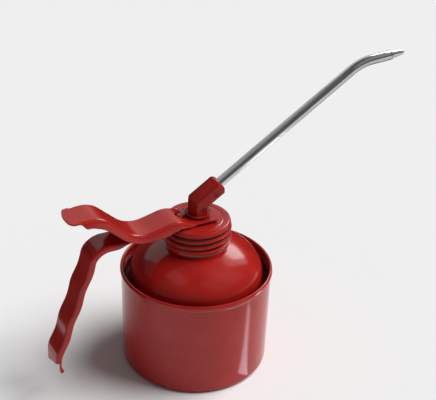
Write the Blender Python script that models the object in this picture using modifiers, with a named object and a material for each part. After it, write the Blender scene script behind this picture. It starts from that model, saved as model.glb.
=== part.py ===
"""Force-feed oil can of pressed steel: drawn can, domed shoulder, screw cap, lever pump, bent spout.

Metres, +Z up. The origin is the centre of the can's bottom. The spout points along +X and the
lever and handle along -X. The screw cap carries the pump, and turns off the neck with it.
"""

import math

import bmesh
import bpy
from mathutils import Matrix, Vector

# Clearances and smoothness
GAP = 0.0003
FORK_PLAY = 0.0008
THREAD_PLAY = 0.00045
SLIDE_PLAY = 0.00035
HANDLE_SIDE_PLAY = 0.0008
OVERCUT = 0.0010
ROUND_STEPS = 32
PUMP_STEPS = 20
SMALL_STEPS = 16

# Can body: a drawn cup with a rolled rim and a stiffening bead in its bottom
CAN_SHEET = 0.0006
CAN_FOOT_RADIUS = 0.0482
CAN_CORNER = 0.0032
RIM_RADIUS = 0.0500
RIM_HEIGHT = 0.06725
RIM_BEAD_WIDTH = 0.0024
RIM_BEAD_HEIGHT = 0.0044
RIM_OVERHANG = 0.0009
BASE_BEAD_RADIUS = 0.0350
BASE_BEAD_WIDTH = 0.0050
BASE_BEAD_RISE = 0.0012

# Shoulder: a dome that stands in a gutter inside the rim and ends in the neck
SHOULDER_SHEET = 0.0006
GUTTER_DROP = 0.01075
GUTTER_WIDTH = 0.00805
FLANGE_DROP = 0.00475
DOME_LIFT = 0.00465
DOME_BULGE = 0.0008
DOME_RISE = 0.0169
NECK_ROOT = 0.0018
NECK_FILLET = 0.00256
NECK_PLAIN = 0.0022
NECK_HEIGHT = 0.0137
NECK_EDGE = 0.0009
NECK_LIP = 0.0018

# Rolled thread of the neck and the cap
THREAD_PITCH = 0.0043
THREAD_DEPTH = 0.0013
THREAD_START = 0.0022
ROWS_PER_PITCH = 4

# Screw cap
CAP_SHEET = 0.0007
CAP_RADIUS = 0.0220
CAP_CORNER = 0.0014
CAP_SKIRT = 0.0143
CAP_HEM = 0.0014
CAP_FLARE = 0.0005
RING_BEAD_RADIUS = 0.0167
RING_BEAD_WIDTH = 0.0016
RING_BEAD_DEPTH = 0.0005
RING_BEAD_SLOPE = 0.0004

# Seals
CAP_GASKET_THICKNESS = 0.0009
CAP_GASKET_WIDTH = 0.0026
BARREL_GASKET_THICKNESS = 0.0010
BARREL_GASKET_WIDTH = 0.0025

# Pump barrel, its nut and its foot valve
BARREL_RADIUS = 0.0085
BARREL_WALL = 0.0008
BARREL_HEAD = 0.0030
SPIGOT_RADIUS = 0.0046
NUT_ACROSS_FLATS = 0.0110
SEAL_RADIUS = 0.0056
SEAL_DEPTH = 0.0020
SPRING_SEAT_THICKNESS = 0.0010
FOOT_FLANGE = 0.0035
FOOT_PLUG = 0.0065
FOOT_BALL_RADIUS = 0.0032
FOOT_BALL_LIFT = 0.0015
FOOT_SEAT_RADIUS = 0.0022
RETAINER_THICKNESS = 0.0008
SUCTION_TUBE_RADIUS = 0.0040
SUCTION_TUBE_WALL = 0.0007
SUCTION_TUBE_FOOT = 0.0045
SUCTION_TUBE_SEAT = 0.0032
SUCTION_TUBE_LENGTH = 0.01510447

# Plunger: hollow rod with piston, cup seal and nut
ROD_RADIUS = 0.0030
ROD_BORE = 0.0015
ROD_SEATING = 0.0021
ROD_TAIL = 0.0050
PISTON_REST = 0.0235
PISTON_HEIGHT = 0.0040
CUP_HEIGHT = 0.0042
CUP_WALL = 0.0009
PISTON_NUT_RADIUS = 0.0050
PISTON_NUT_HEIGHT = 0.0030
SPRING_STANDOFF = 0.0023
SPRING_WIRE = 0.0006
SPRING_TURNS = 7

# Lever: pressed sheet with a web and splayed flanges. Corners are x, rise above the fork, radius.
LEVER_SHEET = 0.0011
LEVER_HALF_WIDTH = 0.0109
LEVER_CREASE = 0.0024
LEVER_SPLAY = math.radians(16.0)
LEVER_TIP_CORNER = 0.0042
LEVER_TIP_BULGE = 0.0022
LEVER_TIP_ROWS = (0.0, 0.0004, 0.0013, 0.0027, 0.0042, 0.0060, 0.0078, 0.0095, 0.0113)
LEVER_WIDTHS = ((-0.0860, 0.0099), (-0.0800, LEVER_HALF_WIDTH))
LEVER_CORNERS = (
    (-0.0910, 0.0190, 0.0),
    (-0.0703, 0.0203, 0.0180),
    (-0.0455, -0.0020, 0.0205),
    (-0.0189, 0.00465, 0.0180),
    (-0.0090, 0.0, 0.0080),
    (0.0100, 0.0, 0.0),
)
LEVER_FLANGE = (
    (-0.0850, 0.0),
    (-0.0797, 0.0049),
    (-0.0705, 0.0056),
    (-0.0600, 0.0048),
    (-0.0420, 0.0048),
    (-0.0270, 0.0062),
    (-0.0200, 0.0054),
    (-0.0140, 0.0040),
    (-0.0075, 0.0),
)
FORK_SLOT_PLAY = 0.0004

# Handle: pressed strip with a web and flanges, clamped under the barrel's nut
HANDLE_SHEET = 0.0009
HANDLE_CREASE = 0.0020
HANDLE_SPLAY = math.radians(6.0)
HANDLE_JOGGLE_START = -0.0222
HANDLE_JOGGLE_END = -0.0262
HANDLE_JOGGLE_DROP = 0.0013
HANDLE_SHOULDER_X = -0.0745
HANDLE_SHOULDER_RADIUS = 0.0150
HANDLE_LEAN = math.radians(20.2)
HANDLE_KNEE_DROP = 0.0756
HANDLE_KNEE_RADIUS = 0.0160
HANDLE_END_DROP = 0.0838
HANDLE_END_SLANT = 0.36
HANDLE_END_REACH = 0.0100
HANDLE_FLANGE_DEPTH = 0.0039
HANDLE_FLANGE_START = -0.0460
HANDLE_FLANGE_FULL = -0.0600
HANDLE_END_CORNER = 0.0016
FINGER_PITCH = 0.0225
FINGER_DEPTH = 0.0013
FINGER_COUNT = 3
FINGER_TOP = 0.0067
FULCRUM_BEAD_WIDTH = 0.0050
# Each row of the tail: its drop, and the shifts of its outer and inner edge towards +X
HANDLE_TAIL = (
    (0.0033, 0.0, -0.0001),
    (0.0054, 0.0001, 0.0012),
    (0.0071, 0.0005, 0.0008),
    (0.0079, 0.0009, 0.0002),
)

# Guide stud: holds the handle on the cap and keeps the lever in line
STUD_X = -0.0130
STUD_HEAD_RADIUS = 0.0024
STUD_SHANK_RADIUS = 0.0015
STUD_RISE = 0.0040
STUD_TAIL = 0.0006
STUD_HOLE_PLAY = 0.0010

# Elbow: a cast hexagon with a round foot, mitred towards the spout
ELBOW_ACROSS_FLATS = 0.0127
ELBOW_FOOT_LEDGE = 0.0011
ELBOW_FOOT_THICKNESS = 0.0014
ELBOW_MITRE_RISE = 0.0087
ELBOW_LEG = 0.0180
ELBOW_END_RADIUS = 0.0048
ELBOW_CHAMFER = math.radians(52.0)
ELBOW_PASSAGE = 0.0014
ELBOW_CHAMBER_RADIUS = 0.0027
ELBOW_CHAMBER_HEIGHT = 0.0078
SOCKET_DEPTH = 0.0120
DELIVERY_BALL_RADIUS = 0.0020
DELIVERY_BALL_LIFT = 0.0010
DELIVERY_SPRING_RADIUS = 0.0016
DELIVERY_SPRING_WIRE = 0.00022
DELIVERY_SPRING_TURNS = 3

# Spout: a bent steel tube with a narrower nozzle pressed into its end
SPOUT_RADIUS = 0.00325
SPOUT_WALL = 0.0006
SPOUT_RISE = math.radians(33.6)
SPOUT_TO_BEND = 0.1376
SPOUT_BEND_RADIUS = 0.0320
SPOUT_END_RISE = math.radians(3.5)
SPOUT_END_LENGTH = 0.0218
NOZZLE_RADIUS = 0.0024
NOZZLE_TIP_RADIUS = 0.0016
NOZZLE_BORE = 0.0007
NOZZLE_LENGTH = 0.0105
NOZZLE_SHANK = 0.0060

# Derived sizes of the can, its shoulder and the neck
CAN_WALL_RADIUS = RIM_RADIUS - RIM_OVERHANG
CAN_TAPER = (CAN_WALL_RADIUS - CAN_FOOT_RADIUS) / (RIM_HEIGHT - CAN_CORNER)
GUTTER_FLOOR = RIM_HEIGHT - GUTTER_DROP
FLANGE_TOP = RIM_HEIGHT - FLANGE_DROP
FLANGE_INSET = CAN_FOOT_RADIUS - CAN_SHEET - GAP
FLANGE_FOOT_RADIUS = FLANGE_INSET + CAN_TAPER * (GUTTER_FLOOR - CAN_CORNER)
FLANGE_TOP_RADIUS = FLANGE_INSET + CAN_TAPER * (FLANGE_TOP - CAN_CORNER)
DOME_WAIST_RADIUS = FLANGE_FOOT_RADIUS - SHOULDER_SHEET - GUTTER_WIDTH
DOME_RADIUS = DOME_WAIST_RADIUS + DOME_BULGE
DOME_EQUATOR = RIM_HEIGHT + DOME_LIFT
CAP_MEAN_RADIUS = CAP_RADIUS - THREAD_DEPTH / 2
NECK_MEAN_RADIUS = CAP_MEAN_RADIUS - CAP_SHEET - THREAD_PLAY
NECK_BORE = NECK_MEAN_RADIUS - THREAD_DEPTH / 2 - SHOULDER_SHEET
NECK_ROOT_RADIUS = NECK_MEAN_RADIUS + NECK_ROOT
NECK_ROOT_LEVEL = DOME_EQUATOR + DOME_RISE * math.sqrt(1 - (NECK_ROOT_RADIUS / DOME_RADIUS) ** 2)
NECK_FOOT = NECK_ROOT_LEVEL + NECK_FILLET
NECK_TOP = NECK_FOOT + NECK_HEIGHT
NECK_THREAD_LOW = NECK_FOOT + NECK_PLAIN
THREAD_CREST = NECK_TOP - THREAD_START

# Derived levels on the pump's axis
CAP_GASKET_TOP = NECK_TOP + GAP + CAP_GASKET_THICKNESS
CAP_UNDERSIDE = CAP_GASKET_TOP + GAP + RING_BEAD_DEPTH
CAP_TOP = CAP_UNDERSIDE + CAP_SHEET
CAP_SKIRT_FOOT = CAP_TOP - CAP_SKIRT
CAP_THREAD_LOW = CAP_SKIRT_FOOT + CAP_HEM
HANDLE_LEVEL = CAP_TOP + GAP + HANDLE_SHEET
LEVER_LEVEL = HANDLE_LEVEL + GAP + LEVER_SHEET
ELBOW_FOOT = LEVER_LEVEL + FORK_PLAY
ELBOW_MITRE = ELBOW_FOOT + ELBOW_MITRE_RISE
ROD_TOP = ELBOW_FOOT + ROD_SEATING
NUT_FOOT = HANDLE_LEVEL + GAP
NUT_TOP = ELBOW_FOOT - GAP
BARREL_GASKET_FOOT = CAP_UNDERSIDE - GAP - BARREL_GASKET_THICKNESS
BARREL_HEAD_TOP = BARREL_GASKET_FOOT - GAP
BARREL_HEAD_FOOT = BARREL_HEAD_TOP - BARREL_HEAD
SUCTION_TUBE_TOP = SUCTION_TUBE_FOOT + SUCTION_TUBE_LENGTH
BARREL_FOOT = SUCTION_TUBE_TOP + GAP - SUCTION_TUBE_SEAT + FOOT_FLANGE + GAP
SPRING_SEAT_FOOT = BARREL_HEAD_FOOT - GAP - SPRING_SEAT_THICKNESS
PISTON_FOOT = BARREL_FOOT + PISTON_REST
PISTON_TOP = PISTON_FOOT + PISTON_HEIGHT
CUP_TOP = PISTON_FOOT - GAP
PISTON_NUT_TOP = CUP_TOP - CUP_WALL - GAP
PISTON_NUT_FOOT = PISTON_NUT_TOP - PISTON_NUT_HEIGHT
ROD_FOOT = PISTON_NUT_FOOT - ROD_TAIL

# Derived widths
BARREL_BORE = BARREL_RADIUS - BARREL_WALL
SPRING_RADIUS = ROD_RADIUS + SPRING_STANDOFF
HANDLE_HALF_WIDTH = LEVER_HALF_WIDTH - LEVER_SHEET - HANDLE_SIDE_PLAY
NUT_CORNER_RADIUS = NUT_ACROSS_FLATS / math.sqrt(3.0)
ELBOW_CORNER_RADIUS = ELBOW_ACROSS_FLATS / math.sqrt(3.0)
ELBOW_FOOT_RADIUS = ELBOW_CORNER_RADIUS + ELBOW_FOOT_LEDGE

COLLECTION = "oil_can"
CUTTERS = "cutters"


def clear_scene():
    for obj in list(bpy.data.objects):
        bpy.data.objects.remove(obj, do_unlink=True)
    for name in (COLLECTION, CUTTERS):
        collection = bpy.data.collections.new(name)
        bpy.context.scene.collection.children.link(collection)


def material(name, color, roughness, metallic):
    finish = bpy.data.materials.new(name)
    finish.use_nodes = True
    shader = finish.node_tree.nodes["Principled BSDF"]
    shader.inputs["Base Color"].default_value = (*color, 1.0)
    shader.inputs["Roughness"].default_value = roughness
    shader.inputs["Metallic"].default_value = metallic
    return finish


def enamel():
    return material("red_enamel", (0.36, 0.015, 0.012), 0.22, 0.0)


def bright_steel():
    return material("bright_steel", (0.56, 0.57, 0.58), 0.24, 1.0)


def zinc():
    return material("zinc_steel", (0.48, 0.50, 0.52), 0.38, 1.0)


def brass():
    return material("brass", (0.66, 0.50, 0.24), 0.30, 1.0)


def rubber():
    return material("oil_rubber", (0.02, 0.02, 0.02), 0.70, 0.0)


def fibre():
    return material("gasket_fibre", (0.35, 0.22, 0.13), 0.85, 0.0)


def add_object(name, data, finish, parent=None):
    obj = bpy.data.objects.new(name, data)
    bpy.data.collections[COLLECTION].objects.link(obj)
    if finish is not None:
        data.materials.append(finish)
    if parent is not None:
        obj.parent = parent
        obj.matrix_parent_inverse = parent.matrix_world.inverted()
    return obj


def add_axis(name, location, parent=None):
    """An empty on a joint's axis, which carries the pieces that move about it."""
    empty = bpy.data.objects.new(name, None)
    bpy.data.collections[COLLECTION].objects.link(empty)
    empty.empty_display_size = 0.01
    empty.location = location
    if parent is not None:
        empty.parent = parent
        empty.matrix_parent_inverse = parent.matrix_world.inverted()
    bpy.context.view_layer.update()
    return empty


def evaluated_mesh(obj):
    bpy.context.view_layer.update()
    graph = bpy.context.evaluated_depsgraph_get()
    return bpy.data.meshes.new_from_object(obj.evaluated_get(graph))


def bake(obj):
    """Replaces an object's data by its evaluated mesh, with its doubles welded."""
    mesh = evaluated_mesh(obj)
    obj.modifiers.clear()
    obj.data = mesh
    shape = bmesh.new()
    shape.from_mesh(mesh)
    bmesh.ops.remove_doubles(shape, verts=shape.verts, dist=0.000005)
    bmesh.ops.dissolve_degenerate(shape, edges=shape.edges, dist=0.000001)
    shape.to_mesh(mesh)
    shape.free()
    return obj


def smooth(mesh, angle=math.radians(35.0)):
    mesh.shade_smooth()
    mesh.set_sharp_from_angle(angle=angle)


def revolve(obj, steps):
    screw = obj.modifiers.new("revolve", "SCREW")
    screw.steps = steps
    screw.render_steps = steps
    screw.use_merge_vertices = True
    screw.merge_threshold = 0.00005
    screw.use_smooth_shade = True
    return obj


def outline_mesh(name, outline, closed):
    mesh = bpy.data.meshes.new(name)
    edges = [(i, i + 1) for i in range(len(outline) - 1)]
    if closed:
        edges.append((len(outline) - 1, 0))
    mesh.from_pydata([(radius, 0.0, height) for radius, height in outline], edges, [])
    return mesh


def turned(name, outline, finish, parent=None, steps=SMALL_STEPS, closed=True):
    """A turned piece. Its outline runs down the outer side; it is open where it meets the axis."""
    obj = add_object(name, outline_mesh(name, outline, closed), finish, parent)
    return revolve(obj, steps)


def turned_cutter(name, outline, steps=SMALL_STEPS, closed=False):
    obj = bpy.data.objects.new(name, outline_mesh(name, outline, closed))
    bpy.data.collections[CUTTERS].objects.link(obj)
    obj.hide_render = True
    obj.display_type = "WIRE"
    return revolve(obj, steps)


def drill(name, radius, low, high, location=(0.0, 0.0, 0.0), lean=0.0):
    """A cylinder to cut with, from low to high along its own axis, which leans from +Z to +X."""
    outline = [(0.0, high), (radius, high), (radius, low), (0.0, low)]
    obj = turned_cutter(name, outline)
    obj.location = location
    obj.rotation_euler = (0.0, lean, 0.0)
    return obj


def box_cutter(name, low, high):
    mesh = bpy.data.meshes.new(name)
    shape = bmesh.new()
    bmesh.ops.create_cube(shape, size=1.0)
    centre = (Vector(low) + Vector(high)) / 2
    size = Vector(high) - Vector(low)
    bmesh.ops.scale(shape, vec=size, verts=shape.verts)
    bmesh.ops.translate(shape, vec=centre, verts=shape.verts)
    shape.to_mesh(mesh)
    shape.free()
    obj = bpy.data.objects.new(name, mesh)
    bpy.data.collections[CUTTERS].objects.link(obj)
    obj.hide_render = True
    obj.display_type = "WIRE"
    return obj


def boolean(obj, other, operation="DIFFERENCE"):
    modifier = obj.modifiers.new(other.name, "BOOLEAN")
    modifier.operation = operation
    modifier.object = other
    return obj


def oval(centre, semi_axes, start, end, count):
    """Points on an upright oval in the outline's plane, from start to end in degrees."""
    points = []
    for i in range(count + 1):
        angle = math.radians(start + (end - start) * i / count)
        radius = centre[0] + semi_axes[0] * math.cos(angle)
        height = centre[1] + semi_axes[1] * math.sin(angle)
        points.append((radius, height))
    return points


def arc(centre, radius, start, end, count):
    return oval(centre, (radius, radius), start, end, count)


def rows_down(radius, top, bottom, count):
    return [(radius, top + (bottom - top) * i / count) for i in range(count + 1)]


def eased(x, keys):
    """Value at x between (x, value) keys, with a soft start and end to each stretch."""
    if x <= keys[0][0]:
        return keys[0][1]
    for (x0, v0), (x1, v1) in zip(keys, keys[1:]):
        if x <= x1:
            share = (x - x0) / (x1 - x0)
            return v0 + (v1 - v0) * (1 - math.cos(math.pi * share)) / 2
    return keys[-1][1]


def rounded_path(corners, arc_step=math.radians(10.0), line_step=0.0080):
    """Points and headings along a line through corners (x, z, radius), rounded at each corner."""
    places = [Vector((x, z)) for x, z, _ in corners]
    path = []
    start = places[0]
    for i in range(1, len(places)):
        heading = (places[i] - places[i - 1]).normalized()
        angle = math.atan2(heading.y, heading.x)
        end = places[i]
        turn = 0.0
        if i < len(places) - 1:
            after = (places[i + 1] - places[i]).normalized()
            turn = math.atan2(heading.x * after.y - heading.y * after.x, heading.dot(after))
            end = places[i] - heading * corners[i][2] * math.tan(abs(turn) / 2)
        count = max(1, round((end - start).length / line_step))
        first = 0 if not path else 1
        for k in range(first, count + 1):
            path.append((start.lerp(end, k / count), angle))
        start = end
        if turn:
            radius = corners[i][2]
            side = math.copysign(1.0, turn)
            centre = end + Vector((-heading.y, heading.x)) * side * radius
            bends = max(2, round(abs(turn) / arc_step))
            for k in range(1, bends + 1):
                swept = angle + turn * k / bends
                normal = Vector((-math.sin(swept), math.cos(swept))) * side
                path.append((centre - normal * radius, swept))
            start = path[-1][0]
    return path


def strip_section(half_width, crease, depth, splay):
    """Half of a channel's outer line as (y, drop): web, crease and splayed flange."""
    full_turn = math.pi / 2 - splay
    crease_depth = crease * (1 - math.cos(full_turn))
    if depth > crease_depth:
        turn = full_turn
        length = (depth - crease_depth) / math.sin(turn)
    else:
        turn = math.acos(1 - depth / crease)
        length = 0.0
    length = max(length, 0.0003)
    web = half_width - crease * math.sin(turn)
    points = [(0.0, 0.0), (web, 0.0)]
    for share in (0.5, 1.0):
        points.append(
            (web + crease * math.sin(turn * share), crease * (1 - math.cos(turn * share)))
        )
    y, drop = points[-1]
    points.append((y + length * math.cos(turn), drop + length * math.sin(turn)))
    return points


def strip_object(name, path, section_at, finish, parent):
    """A sheet laid along a path in the XZ plane: half of each row, to be mirrored and thickened."""
    mesh = bpy.data.meshes.new(name)
    shape = bmesh.new()
    rows = []
    for point, angle in path:
        up = Vector((-math.sin(angle), math.cos(angle)))
        row = []
        for y, drop in section_at(point, angle):
            place = point - up * drop
            row.append(shape.verts.new((place.x, y, place.y)))
        rows.append(row)
    for low, high in zip(rows, rows[1:]):
        for i in range(len(low) - 1):
            shape.faces.new((low[i], high[i], high[i + 1], low[i + 1]))
    shape.to_mesh(mesh)
    shape.free()
    obj = add_object(name, mesh, finish, parent)
    mirror = obj.modifiers.new("other_half", "MIRROR")
    mirror.use_axis = (False, True, False)
    mirror.use_clip = True
    mirror.merge_threshold = 0.00001
    return obj


def thicken(obj, sheet):
    solid = obj.modifiers.new("sheet", "SOLIDIFY")
    solid.thickness = sheet
    solid.offset = -1.0
    solid.use_even_offset = True
    return obj


def roll_thread(obj, mean_inner, mean_outer, low, high, low_target, high_target):
    """Moves a baked turned piece's thread rows in and out along a helix, fading at both ends."""
    fade = THREAD_PITCH / 3
    for vertex in obj.data.vertices:
        x, y, z = vertex.co
        radius = math.hypot(x, y)
        if not (mean_inner - 0.0001 < radius < mean_outer + 0.0001 and low < z < high):
            continue
        turn = math.atan2(y, x) / (2 * math.pi)
        wave = math.cos(2 * math.pi * ((z - THREAD_CREST) / THREAD_PITCH - turn))
        from_low = min(1.0, (z - low) / fade)
        from_high = min(1.0, (high - z) / fade)
        level = wave * from_low * from_high
        level += low_target * (1 - from_low) + high_target * (1 - from_high)
        factor = (radius + level * THREAD_DEPTH / 2) / radius
        vertex.co = (x * factor, y * factor, z)


def base_bead(level):
    """The stiffening bead in the bottom, from its inner to its outer side."""
    inner = BASE_BEAD_RADIUS - BASE_BEAD_WIDTH / 2
    outer = BASE_BEAD_RADIUS + BASE_BEAD_WIDTH / 2
    slope = BASE_BEAD_RISE
    return [
        (inner, level),
        (inner + slope, level + BASE_BEAD_RISE),
        (outer - slope, level + BASE_BEAD_RISE),
        (outer, level),
    ]


def make_can_body(finish):
    bead_centre = (RIM_RADIUS - RIM_BEAD_WIDTH / 2, RIM_HEIGHT)
    bead_axes = (RIM_BEAD_WIDTH / 2, RIM_BEAD_HEIGHT / 2)
    outer_start = math.degrees(math.acos((CAN_WALL_RADIUS - bead_centre[0]) / bead_axes[0]))
    wall_inner = CAN_WALL_RADIUS - CAN_SHEET
    inner_start = math.degrees(math.acos((wall_inner - bead_centre[0]) / bead_axes[0]))
    corner_centre = (CAN_FOOT_RADIUS - CAN_CORNER, CAN_CORNER)
    inner_corner = arc(corner_centre, CAN_CORNER - CAN_SHEET, -90, 0, 2)
    outer_corner = arc(corner_centre, CAN_CORNER, 0, -90, 3)
    outline = [(0.0, CAN_SHEET)]
    outline += base_bead(CAN_SHEET)
    outline += inner_corner
    outline += oval(bead_centre, bead_axes, 360 - inner_start, -outer_start, 8)
    outline += outer_corner
    outline += reversed(base_bead(0.0))
    outline.append((0.0, 0.0))
    return turned("can_body", outline, finish, steps=ROUND_STEPS, closed=False)


def dome_outline(offset, start, count):
    """The dome's line from its top edge at radius start down to its equator."""
    radius = DOME_RADIUS - offset
    rise = DOME_RISE - offset
    first = math.degrees(math.acos(start / radius))
    return oval((0.0, DOME_EQUATOR), (radius, rise), first, 0, count)


def make_shoulder(finish):
    sheet = SHOULDER_SHEET
    thread_top = NECK_TOP - NECK_EDGE
    thread_rows = round((thread_top - NECK_THREAD_LOW) / THREAD_PITCH * ROWS_PER_PITCH)
    gutter_radius = GUTTER_WIDTH / 2
    gutter_centre = (DOME_WAIST_RADIUS + gutter_radius, GUTTER_FLOOR + gutter_radius)
    edge = NECK_MEAN_RADIUS - THREAD_DEPTH / 2 - 0.0004
    fillet = NECK_FOOT - NECK_FILLET / 2
    outline = [(NECK_BORE - NECK_LIP, NECK_TOP), (edge, NECK_TOP)]
    outline += rows_down(NECK_MEAN_RADIUS, thread_top, NECK_THREAD_LOW, thread_rows)
    outline += [(NECK_MEAN_RADIUS, NECK_FOOT), (NECK_MEAN_RADIUS + 0.0004, fillet)]
    outline += dome_outline(0.0, NECK_ROOT_RADIUS, 6)
    outline += arc(gutter_centre, gutter_radius, 180, 360, 3)
    outline += [(FLANGE_TOP_RADIUS - sheet, FLANGE_TOP), (FLANGE_TOP_RADIUS, FLANGE_TOP)]
    outline += arc(gutter_centre, gutter_radius + sheet, 360, 180, 3)
    outline += reversed(dome_outline(sheet, NECK_ROOT_RADIUS - sheet * 1.6, 5))
    outline += [
        (NECK_BORE, fillet),
        (NECK_BORE, NECK_TOP - sheet),
        (NECK_BORE - NECK_LIP, NECK_TOP - sheet),
    ]
    obj = turned("can_shoulder", outline, finish, steps=ROUND_STEPS)
    bake(obj)
    high = thread_top + 0.0001
    roll_thread(obj, NECK_MEAN_RADIUS, NECK_MEAN_RADIUS, NECK_THREAD_LOW, high, 0.0, -1.0)
    smooth(obj.data, math.radians(60.0))
    return obj


def ring_bead(level):
    """The round groove in the cap's top, from its inner to its outer side."""
    inner = RING_BEAD_RADIUS - RING_BEAD_WIDTH / 2
    outer = RING_BEAD_RADIUS + RING_BEAD_WIDTH / 2
    slope = RING_BEAD_SLOPE
    floor = level - RING_BEAD_DEPTH
    return [(inner, level), (inner + slope, floor), (outer - slope, floor), (outer, level)]


def make_cap(finish, parent):
    sheet = CAP_SHEET
    thread_top = CAP_TOP - CAP_CORNER
    rows = round((thread_top - CAP_THREAD_LOW) / THREAD_PITCH * ROWS_PER_PITCH)
    hole = SPIGOT_RADIUS + GAP
    corner_centre = (CAP_MEAN_RADIUS - CAP_CORNER, CAP_TOP - CAP_CORNER)
    flare = CAP_RADIUS + CAP_FLARE
    inner_mean = CAP_MEAN_RADIUS - sheet
    outline = [(hole, CAP_TOP)]
    outline += ring_bead(CAP_TOP)
    outline += arc(corner_centre, CAP_CORNER, 90, 30, 2)
    outline += rows_down(CAP_MEAN_RADIUS, thread_top, CAP_THREAD_LOW, rows)
    outline += [(flare, CAP_SKIRT_FOOT + sheet), (flare, CAP_SKIRT_FOOT)]
    outline += [(flare - sheet, CAP_SKIRT_FOOT)]
    outline += reversed(rows_down(inner_mean, thread_top, CAP_THREAD_LOW, rows))
    outline += [(inner_mean - 0.0004, CAP_UNDERSIDE)]
    outline += reversed(ring_bead(CAP_UNDERSIDE))
    outline += [(hole, CAP_UNDERSIDE)]
    obj = turned("screw_cap", outline, finish, parent, steps=ROUND_STEPS)
    bake(obj)
    low = CAP_THREAD_LOW - 0.0001
    roll_thread(obj, inner_mean, CAP_MEAN_RADIUS, low, thread_top, 1.0, 0.0)
    boolean(obj, drill("stud_hole_in_cap", STUD_SHANK_RADIUS + GAP, CAP_UNDERSIDE - OVERCUT,
                       CAP_TOP + OVERCUT, (STUD_X, 0.0, 0.0)))
    bake(obj)
    smooth(obj.data, math.radians(60.0))
    return obj


def ring_outline(inner, outer, low, high):
    return [(inner, high), (outer, high), (outer, low), (inner, low)]


def make_seals(fibre_finish, rubber_finish, lift_axis, head_axis):
    outer = NECK_MEAN_RADIUS - THREAD_DEPTH / 2
    low = NECK_TOP + GAP
    outline = ring_outline(outer - CAP_GASKET_WIDTH, outer, low, CAP_GASKET_TOP)
    turned("cap_gasket", outline, rubber_finish, lift_axis, steps=ROUND_STEPS)
    inner = SPIGOT_RADIUS + GAP
    high = BARREL_GASKET_FOOT + BARREL_GASKET_THICKNESS
    outline = ring_outline(inner, inner + BARREL_GASKET_WIDTH, BARREL_GASKET_FOOT, high)
    turned("barrel_gasket", outline, fibre_finish, head_axis)
    low = BARREL_HEAD_FOOT
    outline = ring_outline(ROD_RADIUS + GAP, SEAL_RADIUS - GAP, low, low + SEAL_DEPTH - GAP)
    turned("rod_seal", outline, rubber_finish, head_axis)


def make_barrel(finish, zinc_finish, parent):
    bore = BARREL_BORE
    rod_bore = ROD_RADIUS + SLIDE_PLAY
    outline = [
        (rod_bore, NUT_TOP - GAP),
        (SPIGOT_RADIUS, NUT_TOP - GAP),
        (SPIGOT_RADIUS, BARREL_HEAD_TOP),
        (BARREL_RADIUS, BARREL_HEAD_TOP),
        (BARREL_RADIUS, BARREL_FOOT),
        (bore, BARREL_FOOT),
        (bore, BARREL_HEAD_FOOT),
        (SEAL_RADIUS, BARREL_HEAD_FOOT),
        (SEAL_RADIUS, BARREL_HEAD_FOOT + SEAL_DEPTH),
        (rod_bore, BARREL_HEAD_FOOT + SEAL_DEPTH),
    ]
    turned("pump_barrel", outline, finish, parent, steps=PUMP_STEPS)
    outline = ring_outline(rod_bore, bore - GAP, SPRING_SEAT_FOOT,
                           SPRING_SEAT_FOOT + SPRING_SEAT_THICKNESS)
    turned("spring_seat", outline, zinc_finish, parent)


def make_barrel_nut(finish, parent):
    mesh = bpy.data.meshes.new("barrel_nut")
    shape = bmesh.new()
    bmesh.ops.create_cone(shape, cap_ends=True, segments=6, radius1=NUT_CORNER_RADIUS,
                          radius2=NUT_CORNER_RADIUS, depth=NUT_TOP - NUT_FOOT)
    bmesh.ops.translate(shape, vec=(0.0, 0.0, (NUT_TOP + NUT_FOOT) / 2), verts=shape.verts)
    shape.to_mesh(mesh)
    shape.free()
    obj = add_object("barrel_nut", mesh, finish, parent)
    boolean(obj, drill("nut_bore", SPIGOT_RADIUS + GAP, NUT_FOOT - OVERCUT, NUT_TOP + OVERCUT))
    return obj


def make_foot_valve(finish, parent, ball_axis, steel_finish):
    bore = BARREL_BORE
    top = BARREL_FOOT + FOOT_PLUG
    low = BARREL_FOOT - GAP - FOOT_FLANGE
    tube_bore = SUCTION_TUBE_RADIUS + GAP
    seat = foot_seat_level()
    chamber = FOOT_BALL_RADIUS + SLIDE_PLAY
    ledge = retainer_level()
    recess = chamber + 0.0016
    outline = [
        (recess, top),
        (bore - GAP, top),
        (bore - GAP, BARREL_FOOT - GAP),
        (BARREL_RADIUS, BARREL_FOOT - GAP),
        (BARREL_RADIUS, low),
        (tube_bore, low),
        (tube_bore, low + SUCTION_TUBE_SEAT),
        (FOOT_SEAT_RADIUS, low + SUCTION_TUBE_SEAT),
        (FOOT_SEAT_RADIUS, seat),
        (chamber, seat + 0.0008),
        (chamber, ledge),
        (recess, ledge),
    ]
    turned("barrel_foot", outline, finish, parent, steps=PUMP_STEPS)
    outline = ring_outline(FOOT_BALL_RADIUS * 0.6, recess - GAP, ledge + GAP,
                           ledge + GAP + RETAINER_THICKNESS)
    turned("ball_retainer", outline, finish, parent)
    outline = ring_outline(SUCTION_TUBE_RADIUS - SUCTION_TUBE_WALL, SUCTION_TUBE_RADIUS,
                           SUCTION_TUBE_FOOT, SUCTION_TUBE_TOP)
    tube = turned("suction_tube", outline, finish, parent)
    reach = SUCTION_TUBE_RADIUS * 2.5
    scarf = box_cutter("suction_scarf", (-reach, -reach, -reach), (reach, reach, 0.0))
    scarf.location = (0.0, 0.0, SUCTION_TUBE_FOOT + SUCTION_TUBE_RADIUS * 0.7)
    scarf.rotation_euler = (0.0, math.radians(30.0), 0.0)
    boolean(tube, scarf)
    add_ball("foot_ball", FOOT_BALL_RADIUS, ball_level(seat, FOOT_SEAT_RADIUS, FOOT_BALL_RADIUS),
             steel_finish, ball_axis)


def foot_seat_level():
    return BARREL_FOOT - GAP - FOOT_FLANGE + SUCTION_TUBE_SEAT + 0.0012


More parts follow.
